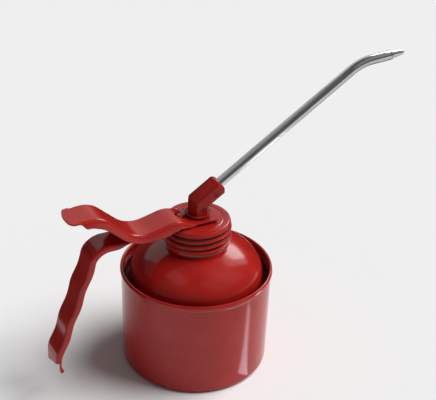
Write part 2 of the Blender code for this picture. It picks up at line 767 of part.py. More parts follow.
def retainer_level():
    """The ledge that the ball's retainer sits on: the lifted ball stops just under it."""
    centre = ball_level(foot_seat_level(), FOOT_SEAT_RADIUS, FOOT_BALL_RADIUS)
    reach = math.sqrt(1.0 - 0.6 ** 2) * FOOT_BALL_RADIUS
    return centre + FOOT_BALL_LIFT + reach


def ball_level(seat, seat_radius, radius):
    """Height of a ball's centre when it rests in a round seat, with the clearance of a touch."""
    return seat + math.sqrt((radius + GAP) ** 2 - seat_radius ** 2)


def add_ball(name, radius, height, finish, parent):
    mesh = bpy.data.meshes.new(name)
    shape = bmesh.new()
    bmesh.ops.create_uvsphere(shape, u_segments=10, v_segments=6, radius=radius)
    bmesh.ops.translate(shape, vec=(0.0, 0.0, height), verts=shape.verts)
    shape.to_mesh(mesh)
    shape.free()
    obj = add_object(name, mesh, finish, parent)
    smooth(mesh)
    return obj


def make_plunger(brass_finish, steel_finish, leather_finish, parent):
    outline = ring_outline(ROD_BORE, ROD_RADIUS, ROD_FOOT, ROD_TOP)
    turned("piston_rod", outline, steel_finish, parent)
    hole = ROD_RADIUS + GAP
    piston_radius = BARREL_BORE - SLIDE_PLAY
    outline = ring_outline(hole, piston_radius, PISTON_FOOT, PISTON_TOP)
    turned("piston", outline, brass_finish, parent, steps=PUMP_STEPS)
    outline = [
        (hole, CUP_TOP),
        (piston_radius, CUP_TOP),
        (piston_radius, CUP_TOP - CUP_HEIGHT),
        (piston_radius - CUP_WALL, CUP_TOP - CUP_HEIGHT),
        (piston_radius - CUP_WALL * 1.5, CUP_TOP - CUP_WALL),
        (hole, CUP_TOP - CUP_WALL),
    ]
    turned("piston_cup", outline, leather_finish, parent, steps=PUMP_STEPS)
    outline = ring_outline(hole, PISTON_NUT_RADIUS, PISTON_NUT_FOOT, PISTON_NUT_TOP)
    turned("piston_nut", outline, brass_finish, parent)


def coil(name, radius, wire, low, high, turns, finish, parent, points_per_turn=8):
    """A round-wire compression spring along Z, made as a curve and then welded into a mesh."""
    curve = bpy.data.curves.new(name, "CURVE")
    curve.dimensions = "3D"
    curve.bevel_depth = wire
    curve.bevel_resolution = 1
    curve.use_fill_caps = True
    count = turns * points_per_turn
    spline = curve.splines.new("POLY")
    spline.points.add(count)
    for i, point in enumerate(spline.points):
        angle = 2 * math.pi * i / points_per_turn
        height = low + wire + (high - low - 2 * wire) * i / count
        point.co = (radius * math.cos(angle), radius * math.sin(angle), height, 1.0)
    guide = bpy.data.objects.new(name + "_guide", curve)
    bpy.data.collections[COLLECTION].objects.link(guide)
    mesh = evaluated_mesh(guide)
    bpy.data.objects.remove(guide)
    shape = bmesh.new()
    shape.from_mesh(mesh)
    bmesh.ops.remove_doubles(shape, verts=shape.verts, dist=0.000005)
    shape.to_mesh(mesh)
    shape.free()
    obj = add_object(name, mesh, finish, parent)
    smooth(mesh)
    return obj


def lever_path():
    corners = [(x, LEVER_LEVEL + rise, radius) for x, rise, radius in LEVER_CORNERS]
    return rounded_path(corners)


def fulcrum():
    """The lowest point of the lever's underside, where it rocks on the handle."""
    dip = sorted((point for point, _ in lever_path() if point.x < STUD_X), key=lambda p: p.y)
    middle = (dip[0] + dip[1]) / 2
    return Vector((middle.x, 0.0, middle.y - LEVER_SHEET))


def end_half_width(distance, half_width, corner):
    """Half width of a strip near its end, where its corners are rounded."""
    if distance >= corner:
        return half_width
    reach = corner - max(distance, 0.0)
    return half_width - corner + math.sqrt(max(corner ** 2 - reach ** 2, 0.0))


def lever_rows():
    """The lever's path with extra rows where its two ends are rounded."""
    path = lever_path()
    tip, tip_angle = path[0]
    along = Vector((math.cos(tip_angle), math.sin(tip_angle)))
    nose = [(tip + along * distance, tip_angle) for distance in LEVER_TIP_ROWS]
    end = path[-1][0]
    corner = LEVER_TIP_CORNER / 2
    fork = [(Vector((end.x - corner * share, end.y)), 0.0) for share in (1.0, 0.5, 0.15)]
    rest = [row for row in path if nose[-1][0].x + 0.001 < row[0].x < fork[0][0].x - 0.001]
    return nose + rest + fork + [path[-1]]


def make_lever(finish, parent):
    rows = lever_rows()
    tip_x = rows[0][0].x
    end_x = rows[-1][0].x
    nut_clear = NUT_CORNER_RADIUS + FORK_SLOT_PLAY

    def section_at(point, angle):
        half = min(
            end_half_width(point.x - tip_x, eased(point.x, LEVER_WIDTHS), LEVER_TIP_CORNER),
            end_half_width(end_x - point.x, LEVER_HALF_WIDTH, LEVER_TIP_CORNER / 2),
        )
        depth = eased(point.x, LEVER_FLANGE)
        return strip_section(half, LEVER_CREASE, depth, LEVER_SPLAY)

    lever = strip_object("lever", rows, section_at, finish, parent)
    bulge_tip(lever.data, tip_x)
    thicken(lever, LEVER_SHEET)
    low = LEVER_LEVEL - LEVER_SHEET - OVERCUT
    high = LEVER_LEVEL + STUD_RISE
    boolean(lever, drill("fork_slot_end", nut_clear, low, high))
    boolean(lever, box_cutter("fork_slot", (0.0, -nut_clear, low), (end_x + OVERCUT, nut_clear, high)))
    boolean(lever, drill("stud_hole_in_lever", STUD_HEAD_RADIUS + STUD_HOLE_PLAY, low, high,
                         (STUD_X, 0.0, 0.0)))
    bake(lever)
    smooth(lever.data)
    return lever


def bulge_tip(mesh, tip_x):
    """Bows the lever's free end outwards, most at its middle."""
    for vertex in mesh.vertices:
        share = 1 - (vertex.co.x - tip_x) / LEVER_TIP_CORNER
        if share > 0:
            across = vertex.co.y / LEVER_HALF_WIDTH
            vertex.co.x += share * LEVER_TIP_BULGE * across ** 2


def handle_corners():
    """Corners of the handle's outer line, from its lower end up to the pump's axis."""
    level = HANDLE_LEVEL
    shoulder_z = level - HANDLE_JOGGLE_DROP
    run = HANDLE_KNEE_DROP - HANDLE_JOGGLE_DROP
    knee_x = HANDLE_SHOULDER_X - math.tan(HANDLE_LEAN) * run
    return [
        (knee_x, level - HANDLE_END_DROP, 0.0),
        (knee_x, level - HANDLE_KNEE_DROP, HANDLE_KNEE_RADIUS),
        (HANDLE_SHOULDER_X, shoulder_z, HANDLE_SHOULDER_RADIUS),
        (HANDLE_JOGGLE_END, level - HANDLE_JOGGLE_DROP, 0.003),
        (HANDLE_JOGGLE_START, level, 0.003),
        (0.0, level, 0.0),
    ]


def handle_rows():
    """The handle's outer line with finger waves, fulcrum bead and rounded ends."""
    path = rounded_path(handle_corners(), line_step=0.0050)
    end = path[0][0]
    nose = [(Vector((end.x, end.y + HANDLE_END_CORNER * share)), math.pi / 2)
            for share in (0.0, 0.08, 0.3, 0.62)]
    path = nose + [row for row in path if row[0].y > end.y + HANDLE_END_CORNER * 0.8]
    rocker = fulcrum()
    half = FULCRUM_BEAD_WIDTH / 2
    rows = []
    for point, angle in path:
        phase = (FINGER_TOP - (HANDLE_LEVEL - point.y)) / FINGER_PITCH + FINGER_COUNT
        if angle > math.pi / 4 and 0.0 < phase < FINGER_COUNT:
            inward = Vector((math.sin(angle), -math.cos(angle)))
            point = point + inward * FINGER_DEPTH * (1 - math.cos(2 * math.pi * phase)) / 2
        if abs(point.x - rocker.x) > half + 0.0008 or angle > math.pi / 4:
            rows.append((point, angle))
    flat = HANDLE_LEVEL - HANDLE_JOGGLE_DROP
    rise = rocker.z - GAP - flat
    bead = [(Vector((rocker.x + half * share, flat + rise * (1 - share ** 2))), 0.0)
            for share in (-1.0, -0.55, 0.0, 0.55, 1.0)]
    left = [row for row in rows if row[0].x < rocker.x]
    right = [row for row in rows if row[0].x > rocker.x]
    reach = HANDLE_HALF_WIDTH
    ring = [(Vector((reach * share, HANDLE_LEVEL)), 0.0) for share in (0.45, 0.72, 0.9, 0.985)]
    return left + bead + right + ring


def make_handle(finish, parent):
    rows = handle_rows()
    end_z = rows[0][0].y
    depths = ((HANDLE_FLANGE_FULL, HANDLE_FLANGE_DEPTH), (HANDLE_FLANGE_START, 0.0))

    def section_at(point, angle):
        half = HANDLE_HALF_WIDTH
        if point.x > 0:
            half = math.sqrt(HANDLE_HALF_WIDTH ** 2 - point.x ** 2)
        fade = eased(point.y - end_z, ((0.0, 0.88), (HANDLE_END_REACH, 1.0)))
        return strip_section(half, HANDLE_CREASE, eased(point.x, depths) * fade, HANDLE_SPLAY)

    handle = strip_object("handle", rows, section_at, finish, parent)
    bake(handle)
    slant_end(handle.data, end_z)
    add_tail(handle.data)
    thicken(handle, HANDLE_SHEET)
    low = CAP_TOP - OVERCUT
    high = HANDLE_LEVEL + OVERCUT
    boolean(handle, drill("spigot_hole", SPIGOT_RADIUS + GAP, low, high))
    boolean(handle, drill("stud_hole_in_handle", STUD_SHANK_RADIUS + GAP, low, high,
                          (STUD_X, 0.0, 0.0)))
    bake(handle)
    smooth(handle.data)
    return handle


def slant_end(mesh, end_z):
    """Rounds the lower end's far corner and slants the end, so that its near side is higher."""
    for vertex in mesh.vertices:
        height = vertex.co.z - end_z
        if vertex.co.y > 0:
            half = end_half_width(height, HANDLE_HALF_WIDTH, HANDLE_END_CORNER)
            vertex.co.y *= half / HANDLE_HALF_WIDTH
        share = eased(height, ((0.0, 1.0), (HANDLE_END_REACH, 0.0)))
        vertex.co.z -= vertex.co.y * HANDLE_END_SLANT * share


def add_tail(mesh):
    """Draws the near flange's lower end out into a small tongue."""
    shape = bmesh.new()
    shape.from_mesh(mesh)
    side = -HANDLE_HALF_WIDTH + HANDLE_CREASE * 0.1
    open_edges = [e for e in shape.edges if e.is_boundary and all(v.co.y < side for v in e.verts)]
    end = min(open_edges, key=lambda e: e.verts[0].co.z + e.verts[1].co.z)
    outer, inner = sorted(end.verts, key=lambda v: v.co.x)
    starts = (outer.co.copy(), inner.co.copy())
    for drop, outer_shift, inner_shift in HANDLE_TAIL:
        grown = bmesh.ops.extrude_edge_only(shape, edges=[end])["geom"]
        end = next(g for g in grown if isinstance(g, bmesh.types.BMEdge) and g.is_boundary
                   and all(v in grown for v in g.verts))
        pair = sorted(end.verts, key=lambda v: v.co.x)
        for vertex, start, shift in zip(pair, starts, (outer_shift, inner_shift)):
            vertex.co = (start.x + shift, start.y, starts[0].z - drop)
    shape.to_mesh(mesh)
    shape.free()


def make_stud(finish, parent):
    seat = HANDLE_LEVEL + GAP
    top = seat + STUD_RISE
    head = STUD_HEAD_RADIUS
    shank = STUD_SHANK_RADIUS
    tail_top = CAP_UNDERSIDE - GAP
    outline = [(0.0, top)]
    outline += arc((head - 0.0014, top - 0.0014), 0.0014, 80, 0, 2)
    outline += [
        (head, seat),
        (shank, seat),
        (shank, tail_top),
        (head * 0.9, tail_top),
        (head * 0.7, tail_top - STUD_TAIL),
        (0.0, tail_top - STUD_TAIL),
    ]
    stud = turned("guide_stud", outline, finish, parent, steps=16, closed=False)
    stud.location = (STUD_X, 0.0, 0.0)
    if parent is not None:
        stud.matrix_parent_inverse = parent.matrix_world.inverted()
    return stud


def hexagon_leg(corner_radius, foot, mitre, lean, leg):
    """A hexagonal prism that rises from foot to a mitre and goes on along the leaning leg."""
    shape = bmesh.new()
    tall = mitre + corner_radius
    bmesh.ops.create_cone(shape, cap_ends=True, segments=6, radius1=corner_radius,
                          radius2=corner_radius, depth=tall - foot,
                          matrix=Matrix.Translation((0.0, 0.0, (tall + foot) / 2)))
    corner_turn = Matrix.Rotation(math.pi / 6, 3, "Z")
    along_x = min(abs(math.remainder(math.atan2(v.co.y, v.co.x), math.pi / 3)) for v in shape.verts)
    if along_x > 0.01:
        bmesh.ops.rotate(shape, cent=(0.0, 0.0, 0.0), matrix=corner_turn, verts=shape.verts)
    leg_direction = Vector((math.cos(lean), 0.0, math.sin(lean)))
    seam = (Vector((0.0, 0.0, 1.0)) + leg_direction).normalized()
    geometry = shape.verts[:] + shape.edges[:] + shape.faces[:]
    bmesh.ops.bisect_plane(shape, geom=geometry, dist=0.000001, plane_co=(0.0, 0.0, mitre),
                           plane_no=seam, clear_outer=True)
    rim = [e for e in shape.edges if e.is_boundary]
    grown = bmesh.ops.extrude_edge_only(shape, edges=rim)["geom"]
    centre = Vector((0.0, 0.0, mitre))
    for item in grown:
        if isinstance(item, bmesh.types.BMVert):
            reach = leg - (item.co - centre).dot(leg_direction)
            item.co += leg_direction * reach
    rim = [e for e in shape.edges if e.is_boundary]
    bmesh.ops.contextual_create(shape, geom=rim)
    bmesh.ops.recalc_face_normals(shape, faces=shape.faces)
    return shape


def make_elbow(finish, parent):
    foot_top = ELBOW_FOOT + ELBOW_FOOT_THICKNESS
    mesh = bpy.data.meshes.new("spout_elbow")
    shape = hexagon_leg(ELBOW_CORNER_RADIUS, foot_top - 0.0003, ELBOW_MITRE, SPOUT_RISE, ELBOW_LEG)
    shape.to_mesh(mesh)
    shape.free()
    elbow = add_object("spout_elbow", mesh, finish, parent)
    edge = ELBOW_FOOT_THICKNESS * 0.35
    foot = ELBOW_FOOT_RADIUS
    outline = [(0.0, foot_top), (foot - edge, foot_top), (foot, foot_top - edge),
               (foot, ELBOW_FOOT + edge), (foot - edge, ELBOW_FOOT), (0.0, ELBOW_FOOT)]
    collar = turned_cutter("elbow_foot", outline, steps=PUMP_STEPS)
    boolean(elbow, collar, "UNION")
    leg_lean = math.pi / 2 - SPOUT_RISE
    centre = (0.0, 0.0, ELBOW_MITRE)
    outer = ELBOW_CORNER_RADIUS + OVERCUT
    slope = (outer - ELBOW_END_RADIUS) / math.tan(ELBOW_CHAMFER)
    rise = OVERCUT / math.tan(ELBOW_CHAMFER)
    ring = [(ELBOW_END_RADIUS - OVERCUT, ELBOW_LEG + rise), (outer, ELBOW_LEG + rise),
            (outer, ELBOW_LEG - slope)]
    chamfer = turned_cutter("elbow_chamfer", ring, steps=18, closed=True)
    chamfer.location = centre
    chamfer.rotation_euler = (0.0, leg_lean, 0.0)
    boolean(elbow, chamfer)
    socket_start = ELBOW_LEG - SOCKET_DEPTH
    boolean(elbow, drill("rod_socket", ROD_RADIUS + GAP, ELBOW_FOOT - OVERCUT, ROD_TOP + GAP))
    chamber_top = ROD_TOP + ELBOW_CHAMBER_HEIGHT
    boolean(elbow, drill("valve_chamber", ELBOW_CHAMBER_RADIUS, ROD_TOP, chamber_top))
    boolean(elbow, drill("spout_passage", ELBOW_PASSAGE, 0.0, socket_start + OVERCUT, centre, leg_lean))
    boolean(elbow, drill("spout_socket", SPOUT_RADIUS + GAP, socket_start, ELBOW_LEG + OVERCUT,
                         centre, leg_lean))
    bake(elbow)
    smooth(elbow.data, math.radians(25.0))
    return elbow


def make_delivery_valve(steel_finish, zinc_finish, plunger_axis, ball_axis):
    centre = ball_level(ROD_TOP, ROD_BORE, DELIVERY_BALL_RADIUS)
    add_ball("delivery_ball", DELIVERY_BALL_RADIUS, centre, steel_finish, ball_axis)
    low = centre + DELIVERY_BALL_RADIUS + GAP
    high = ROD_TOP + ELBOW_CHAMBER_HEIGHT - GAP
    coil("delivery_spring", DELIVERY_SPRING_RADIUS, DELIVERY_SPRING_WIRE, low, high,
         DELIVERY_SPRING_TURNS, zinc_finish, plunger_axis)


def spout_corners():
    """Corners of the spout's middle line, from its seat in the elbow to its nozzle end."""
    along = Vector((math.cos(SPOUT_RISE), math.sin(SPOUT_RISE)))
    end = Vector((math.cos(SPOUT_END_RISE), math.sin(SPOUT_END_RISE)))
    origin = Vector((0.0, ELBOW_MITRE))
    start = origin + along * (ELBOW_LEG - SOCKET_DEPTH + GAP)
    bend = origin + along * SPOUT_TO_BEND
    mouth = bend + end * SPOUT_END_LENGTH
    return [(start.x, start.y, 0.0), (bend.x, bend.y, SPOUT_BEND_RADIUS), (mouth.x, mouth.y, 0.0)]


def make_spout(finish, nozzle_finish, parent):
    curve = bpy.data.curves.new("spout_tube", "CURVE")
    curve.dimensions = "3D"
    curve.bevel_depth = SPOUT_RADIUS
    curve.bevel_resolution = 5
    curve.use_fill_caps = False
    path = rounded_path(spout_corners(), arc_step=math.radians(6.0), line_step=0.2)
    spline = curve.splines.new("POLY")
    spline.points.add(len(path) - 1)
    for point, (place, _) in zip(spline.points, path):
        point.co = (place.x, 0.0, place.y, 1.0)
    guide = bpy.data.objects.new("spout_guide", curve)
    bpy.data.collections[COLLECTION].objects.link(guide)
    mesh = evaluated_mesh(guide)
    bpy.data.objects.remove(guide)
    shape = bmesh.new()
    shape.from_mesh(mesh)
    bmesh.ops.remove_doubles(shape, verts=shape.verts, dist=0.000005)
    bmesh.ops.recalc_face_normals(shape, faces=shape.faces)
    shape.to_mesh(mesh)
    shape.free()
    tube = add_object("spout_tube", mesh, finish, parent)
    thicken(tube, SPOUT_WALL)
    smooth(mesh)
    make_nozzle(path[-1][0], nozzle_finish, parent)


def make_nozzle(mouth, finish, parent):
    bore = NOZZLE_BORE
    shank = SPOUT_RADIUS - SPOUT_WALL - GAP
    tip = NOZZLE_LENGTH
    outline = [
        (bore, tip),
        (NOZZLE_TIP_RADIUS * 0.75, tip),
        (NOZZLE_TIP_RADIUS, tip - 0.0006),
        (NOZZLE_RADIUS * 0.88, tip - 0.0042),
        (NOZZLE_RADIUS, 0.0022),
        (SPOUT_RADIUS * 0.96, 0.0010),
        (SPOUT_RADIUS * 0.96, GAP),
        (shank, GAP),
        (shank, -NOZZLE_SHANK),
        (bore, -NOZZLE_SHANK),
    ]
    nozzle = turned("spout_nozzle", outline, finish, parent, steps=18)
    nozzle.location = (mouth.x, 0.0, mouth.y)
    nozzle.rotation_euler = (0.0, math.pi / 2 - SPOUT_END_RISE, 0.0)


def main():
    clear_scene()
    red = enamel()
    steel = bright_steel()
    plated = zinc()
    yellow = brass()
    black = rubber()
    brown = fibre()
    lift_axis = add_axis("cap_lift_axis", (0.0, 0.0, NECK_TOP))
    head_axis = add_axis("pump_head_axis", (0.0, 0.0, CAP_TOP), lift_axis)
    lever_axis = add_axis("lever_pivot", fulcrum(), head_axis)
    plunger_axis = add_axis("plunger_axis", (0.0, 0.0, PISTON_FOOT), head_axis)
    foot_ball_axis = add_axis("foot_ball_axis", (0.0, 0.0, BARREL_FOOT), head_axis)
    delivery_axis = add_axis("delivery_ball_axis", (0.0, 0.0, ROD_TOP), plunger_axis)

    make_can_body(red)
    make_shoulder(red)
    make_cap(red, head_axis)
    make_seals(brown, black, lift_axis, head_axis)
    make_barrel(yellow, plated, head_axis)
    make_barrel_nut(plated, head_axis)
    make_foot_valve(yellow, head_axis, foot_ball_axis, steel)
    make_plunger(yellow, steel, brown, plunger_axis)
    coil("return_spring", SPRING_RADIUS, SPRING_WIRE, PISTON_TOP + GAP, SPRING_SEAT_FOOT - GAP,
         SPRING_TURNS, plated, head_axis)
    make_handle(red, head_axis)
    make_stud(red, head_axis)
    make_lever(red, lever_axis)
    make_elbow(red, plunger_axis)
    make_delivery_valve(steel, plated, plunger_axis, delivery_axis)
    make_spout(steel, steel, plunger_axis)


main()
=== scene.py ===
"""Lever oil can: the finished look of every piece around its frame, with studio and camera."""
import math

import bmesh
import bpy
from mathutils import Matrix, Vector


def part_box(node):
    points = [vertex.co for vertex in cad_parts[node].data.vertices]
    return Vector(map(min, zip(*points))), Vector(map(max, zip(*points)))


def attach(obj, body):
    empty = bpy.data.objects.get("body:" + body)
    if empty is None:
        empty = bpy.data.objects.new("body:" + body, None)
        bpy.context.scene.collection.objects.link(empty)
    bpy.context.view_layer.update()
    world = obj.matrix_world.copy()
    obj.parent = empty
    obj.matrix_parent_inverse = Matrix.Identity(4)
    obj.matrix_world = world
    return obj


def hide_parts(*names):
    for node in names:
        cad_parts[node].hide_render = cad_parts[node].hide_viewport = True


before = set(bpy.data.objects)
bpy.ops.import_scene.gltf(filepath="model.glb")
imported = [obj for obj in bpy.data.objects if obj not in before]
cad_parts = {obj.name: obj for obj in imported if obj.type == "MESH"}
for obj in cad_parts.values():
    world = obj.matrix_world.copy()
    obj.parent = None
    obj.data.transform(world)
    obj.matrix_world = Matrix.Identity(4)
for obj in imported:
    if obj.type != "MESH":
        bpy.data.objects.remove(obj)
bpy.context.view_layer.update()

# Camera, found from the photograph
IMAGE_WIDTH = 436
CAMERA_FOCUS = 1229.4853
CAMERA_DISTANCE = 0.7810079
CAMERA_ELEVATION = math.radians(30.4687)
CAMERA_AZIMUTH = math.radians(-28.3479)
CAMERA_ROLL = math.radians(2.2564)
AIM_RIGHT = 0.012534
AIM_HEIGHT = 0.1184326
SENSOR = 36.0

# Smoothness of the turned pieces, and the clearance between touching pieces
CAN_STEPS = 160
PUMP_STEPS = 64
CUTTER_STEPS = 48
WELD = 0.000004
STRIP_WELD = 0.000002
GAP = 0.0003

# Can body
CAN_SHEET = 0.0006
CAN_FOOT_RADIUS = 0.0482
CAN_CORNER = 0.0032
RIM_BEAD_WIDTH = 0.0024
RIM_BEAD_HEIGHT = 0.0044
RIM_OVERHANG = 0.0009
BASE_BEAD_RADIUS = 0.0350
BASE_BEAD_WIDTH = 0.0050
BASE_BEAD_RISE = 0.0012

# Shoulder and neck
GUTTER_RADIUS = 0.00225
FLANGE_BELOW_RIM = 0.00475
DOME_RADIUS = 0.0436
DOME_EQUATOR = 0.0650
NECK_HEIGHT = 0.0137
NECK_PLAIN = 0.0022
NECK_EDGE = 0.0009
NECK_LIP = 0.0018
NECK_ROOT = 0.0008
NECK_FILLET = 0.0019

# Rolled thread
THREAD_PITCH = 0.0043
THREAD_DEPTH = 0.0016
THREAD_START = 0.0022
THREAD_PLAY = 0.00045
THREAD_FADE = THREAD_PITCH / 5
ROWS_PER_PITCH = 18

# Screw cap
CAP_SHEET = 0.0007
CAP_CORNER = 0.0014
CAP_HEM = 0.0013
CAP_FLARE = 0.0005
CAP_HOLE = 0.0049
RING_BEAD_RADIUS = 0.0167
RING_BEAD_WIDTH = 0.0016
RING_BEAD_DEPTH = 0.0003

# Rounded edge of pressed sheet: how far it reaches, as a share of the sheet, and its points
EDGE_REACH = 0.45
EDGE_POINTS = 7
ROW_SPACING = 0.0006

# Lever. Corners are x, rise above the fork, radius; widths and flanges are x, value.
LEVER_SHEET = 0.0011
LEVER_HALF_WIDTH = 0.0109
LEVER_CREASE = 0.0024
LEVER_SPLAY = math.radians(16.0)
LEVER_TIP_CORNER = 0.0042
LEVER_TIP_BULGE = 0.0022
LEVER_FAR_CORNER = 0.0014
LEVER_FAR_SETBACK = 0.0032
LEVER_WIDTHS = ((-0.0860, 0.0099), (-0.0800, LEVER_HALF_WIDTH))
LEVER_CORNERS = (
    (-0.0910, 0.0190, 0.0),
    (-0.0703, 0.0203, 0.0180),
    (-0.0455, -0.0020, 0.0205),
    (-0.0189, 0.00465, 0.0180),
    (-0.0090, 0.0, 0.0080),
    (0.0100, 0.0, 0.0),
)
LEVER_FLANGE = (
    (-0.0850, 0.0),
    (-0.0797, 0.0049),
    (-0.0705, 0.0056),
    (-0.0600, 0.0048),
    (-0.0420, 0.0048),
    (-0.0270, 0.0062),
    (-0.0200, 0.0054),
    (-0.0140, 0.0040),
    (-0.0100, 0.0026),
    (-0.0070, 0.0021),
    (-0.0048, 0.0),
)
FORK_SLOT_RADIUS = 0.006751
STUD_HOLE_RADIUS = 0.0034

# Handle
HANDLE_SHEET = 0.0009
HANDLE_HALF_WIDTH = 0.0090
HANDLE_CREASE = 0.0020
HANDLE_SPLAY = math.radians(6.0)
HANDLE_JOGGLE = ((-0.0262, 0.0013), (-0.0222, 0.0))
HANDLE_JOGGLE_RADIUS = 0.003
HANDLE_SHOULDER_X = -0.0745
HANDLE_SHOULDER_RADIUS = 0.0150
HANDLE_LEAN = math.radians(20.2)
HANDLE_KNEE_DROP = 0.0756
HANDLE_KNEE_RADIUS = 0.0160
HANDLE_END_DROP = 0.0838
HANDLE_END_SLANT = 0.36
HANDLE_END_REACH = 0.0100
HANDLE_END_CORNER = 0.0016
HANDLE_END_SHARE = 0.88
HANDLE_FLANGE = ((-0.0600, 0.0039), (-0.0460, 0.0))
HANDLE_TAIL = (
    (0.0012, 0.0, -0.0001, 0.0),
    (0.0030, 0.0, -0.0001, 0.0),
    (0.0042, 0.0, 0.0004, 0.0002),
    (0.0054, 0.0001, 0.0012, 0.0006),
    (0.0065, 0.0003, 0.0011, 0.0007),
    (0.0074, 0.0006, 0.0006, 0.0004),
    (0.0079, 0.0009, 0.0002, 0.0),
)
TAIL_ROOT = 0.0025
TAIL_EDGE = 0.0002
FINGER_PITCH = 0.0225
FINGER_DEPTH = 0.0010
FINGER_COUNT = 3
FINGER_TOP = 0.0067
FULCRUM_X = -0.039885
FULCRUM_BEAD_WIDTH = 0.0050
FULCRUM_BEAD_FOOT = 1.3

# Stud
STUD_X = -0.0130
STUD_HEAD_RADIUS = 0.0024
STUD_SHANK_RADIUS = 0.0015
STUD_RISE = 0.0040
STUD_ROUNDING = 0.0014

# Elbow. Ejector marks are x, height above the foot, radius, and the same from the mitre.
ELBOW_ACROSS_FLATS = 0.0127
ELBOW_CORNER_RADIUS = ELBOW_ACROSS_FLATS / math.sqrt(3.0)
ELBOW_FOOT_RADIUS = ELBOW_CORNER_RADIUS + 0.0011
ELBOW_FOOT_THICKNESS = 0.0014
ELBOW_MITRE_RISE = 0.0087
ELBOW_LEG = 0.0180
ELBOW_END_RADIUS = 0.0049
ELBOW_CHAMFER = math.radians(50.0)
ELBOW_EDGE = 0.00022
CUT_OVERRUN = 0.001
SOCKET_DEPTH = 0.0120
ROD_RADIUS = 0.0030
ROD_SEATING = 0.0021
FOOT_MARK = (0.0012, 0.0052, 0.0018)
LEG_MARK = (-0.0005, -0.0010, 0.0014)
LEG_MARK_REACH = 0.0118
MARK_DEPTH = 0.00040
MARK_OVERRUN = 0.00022

# Spout
SPOUT_RADIUS = 0.00325
SPOUT_WALL = 0.0006
SPOUT_EDGE = 0.00015
SPOUT_RISE = math.radians(33.6)
SPOUT_TO_BEND = 0.1376
SPOUT_BEND_RADIUS = 0.0320
SPOUT_END_RISE = math.radians(3.5)
SPOUT_END_LENGTH = 0.0218
NOZZLE_RADIUS = 0.0024
NOZZLE_TIP_RADIUS = 0.0016
NOZZLE_BORE = 0.0007
NOZZLE_LENGTH = 0.0105
NOZZLE_SHANK = 0.0060

# Studio. Places are azimuth, elevation and distance; cards also have a size and a power.
STUDIO_AIM = (0.0, 0.0, 0.085)
SKY_PLACE = (-15, 53, 1.3)
SKY_STRENGTH = 3.25
SKY_SPREAD = math.radians(46.0)
CARDS = (
    ("window_card", (31, 36, 1.0), (0.46, 0.36), 2.7),
    ("halo_card", (22, 40, 1.4), (0.70, 0.80), 3.2),
    ("back_card", (82, 38, 1.2), (1.4, 0.9), 2.5),
    ("left_card", (175, 62, 1.2), (0.90, 0.40), 0.40),
    ("front_card", (-50, 50, 1.2), (1.2, 1.0), 0.9),
)
STRIP_PLACE = (0.055, -0.066, 0.001)
STRIP_TURN = math.radians(-24.0)
SURROUND_RADIUS = 0.20
SURROUND_HEIGHT = 0.14
SURROUND_PLACE = (0.02, 0.0, 0.0702)

# Levels and radii read from the frame
CAN_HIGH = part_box("can_body")[1]
SHOULDER_LOW, SHOULDER_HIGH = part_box("can_shoulder")
CAP_LOW, CAP_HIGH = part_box("screw_cap")
ELBOW_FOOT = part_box("spout_elbow")[0].z
RIM_RADIUS = CAN_HIGH.y
RIM_HEIGHT = CAN_HIGH.z - RIM_BEAD_HEIGHT / 2
CAN_WALL_RADIUS = RIM_RADIUS - RIM_OVERHANG
NECK_TOP = SHOULDER_HIGH.z
CAP_TOP = CAP_HIGH.z
CAP_MEAN_RADIUS = CAP_HIGH.y - CAP_FLARE - THREAD_DEPTH / 2
NECK_MEAN_RADIUS = CAP_MEAN_RADIUS - CAP_SHEET - THREAD_PLAY
HANDLE_LEVEL = CAP_TOP + GAP + HANDLE_SHEET
LEVER_LEVEL = HANDLE_LEVEL + GAP + LEVER_SHEET
ELBOW_MITRE = ELBOW_FOOT + ELBOW_MITRE_RISE


def choose(piece):
    """Selects one piece alone and makes it the active one."""
    bpy.ops.object.select_all(action="DESELECT")
    piece.select_set(True)
    bpy.context.view_layer.objects.active = piece


def edit(piece):
    """Opens a piece's mesh with all of its points selected."""
    choose(piece)
    bpy.ops.object.mode_set(mode="EDIT")
    bpy.ops.mesh.select_mode(type="VERT")
    bpy.ops.mesh.select_all(action="SELECT")


def leave_edit():
    bpy.ops.object.mode_set(mode="OBJECT")


def named(name):
    piece = bpy.context.object
    piece.name = name
    piece.data.name = name
    return piece


def smooth(piece, angle):
    choose(piece)
    bpy.ops.object.shade_smooth_by_angle(angle=math.radians(angle))


def apply_modifiers(piece):
    choose(piece)
    for modifier in list(piece.modifiers):
        bpy.ops.object.modifier_apply(modifier=modifier.name)


def cut(piece, cutter, operation="DIFFERENCE"):
    """Cuts with, or adds, a second shape, which is then removed."""
    modifier = piece.modifiers.new("cut", "BOOLEAN")
    modifier.operation = operation
    modifier.object = cutter
    apply_modifiers(piece)
    bpy.data.objects.remove(cutter)


def round_edges(piece, width, angle):
    bevel = piece.modifiers.new("rounding", "BEVEL")
    bevel.width = width
    bevel.segments = 2
    bevel.limit_method = "ANGLE"
    bevel.angle_limit = math.radians(angle)
    apply_modifiers(piece)


def oval(centre, semi_axes, start, end, count):
    """Points of an upright oval as (radius, height), from start to end in degrees."""
    points = []
    for i in range(count + 1):
        angle = math.radians(start + (end - start) * i / count)
        points.append((centre[0] + semi_axes[0] * math.cos(angle),
                       centre[1] + semi_axes[1] * math.sin(angle)))
    return points


def arc(centre, radius, start, end, count):
    return oval(centre, (radius, radius), start, end, count)


def draw_profile(name, points):
    """Draws a profile in the XZ plane, corner by corner, by extruding one vertex."""
    bpy.ops.mesh.primitive_plane_add(size=0.001)
    piece = named(name)
    edit(piece)
    bpy.ops.mesh.merge(type="CENTER")
    bpy.ops.transform.translate(value=(points[0][0], 0.0, points[0][1]))
    for (radius, height), (next_radius, next_height) in zip(points, points[1:]):
        step = (next_radius - radius, 0.0, next_height - height)
        bpy.ops.mesh.extrude_region_move(TRANSFORM_OT_translate={"value": step})
    return piece


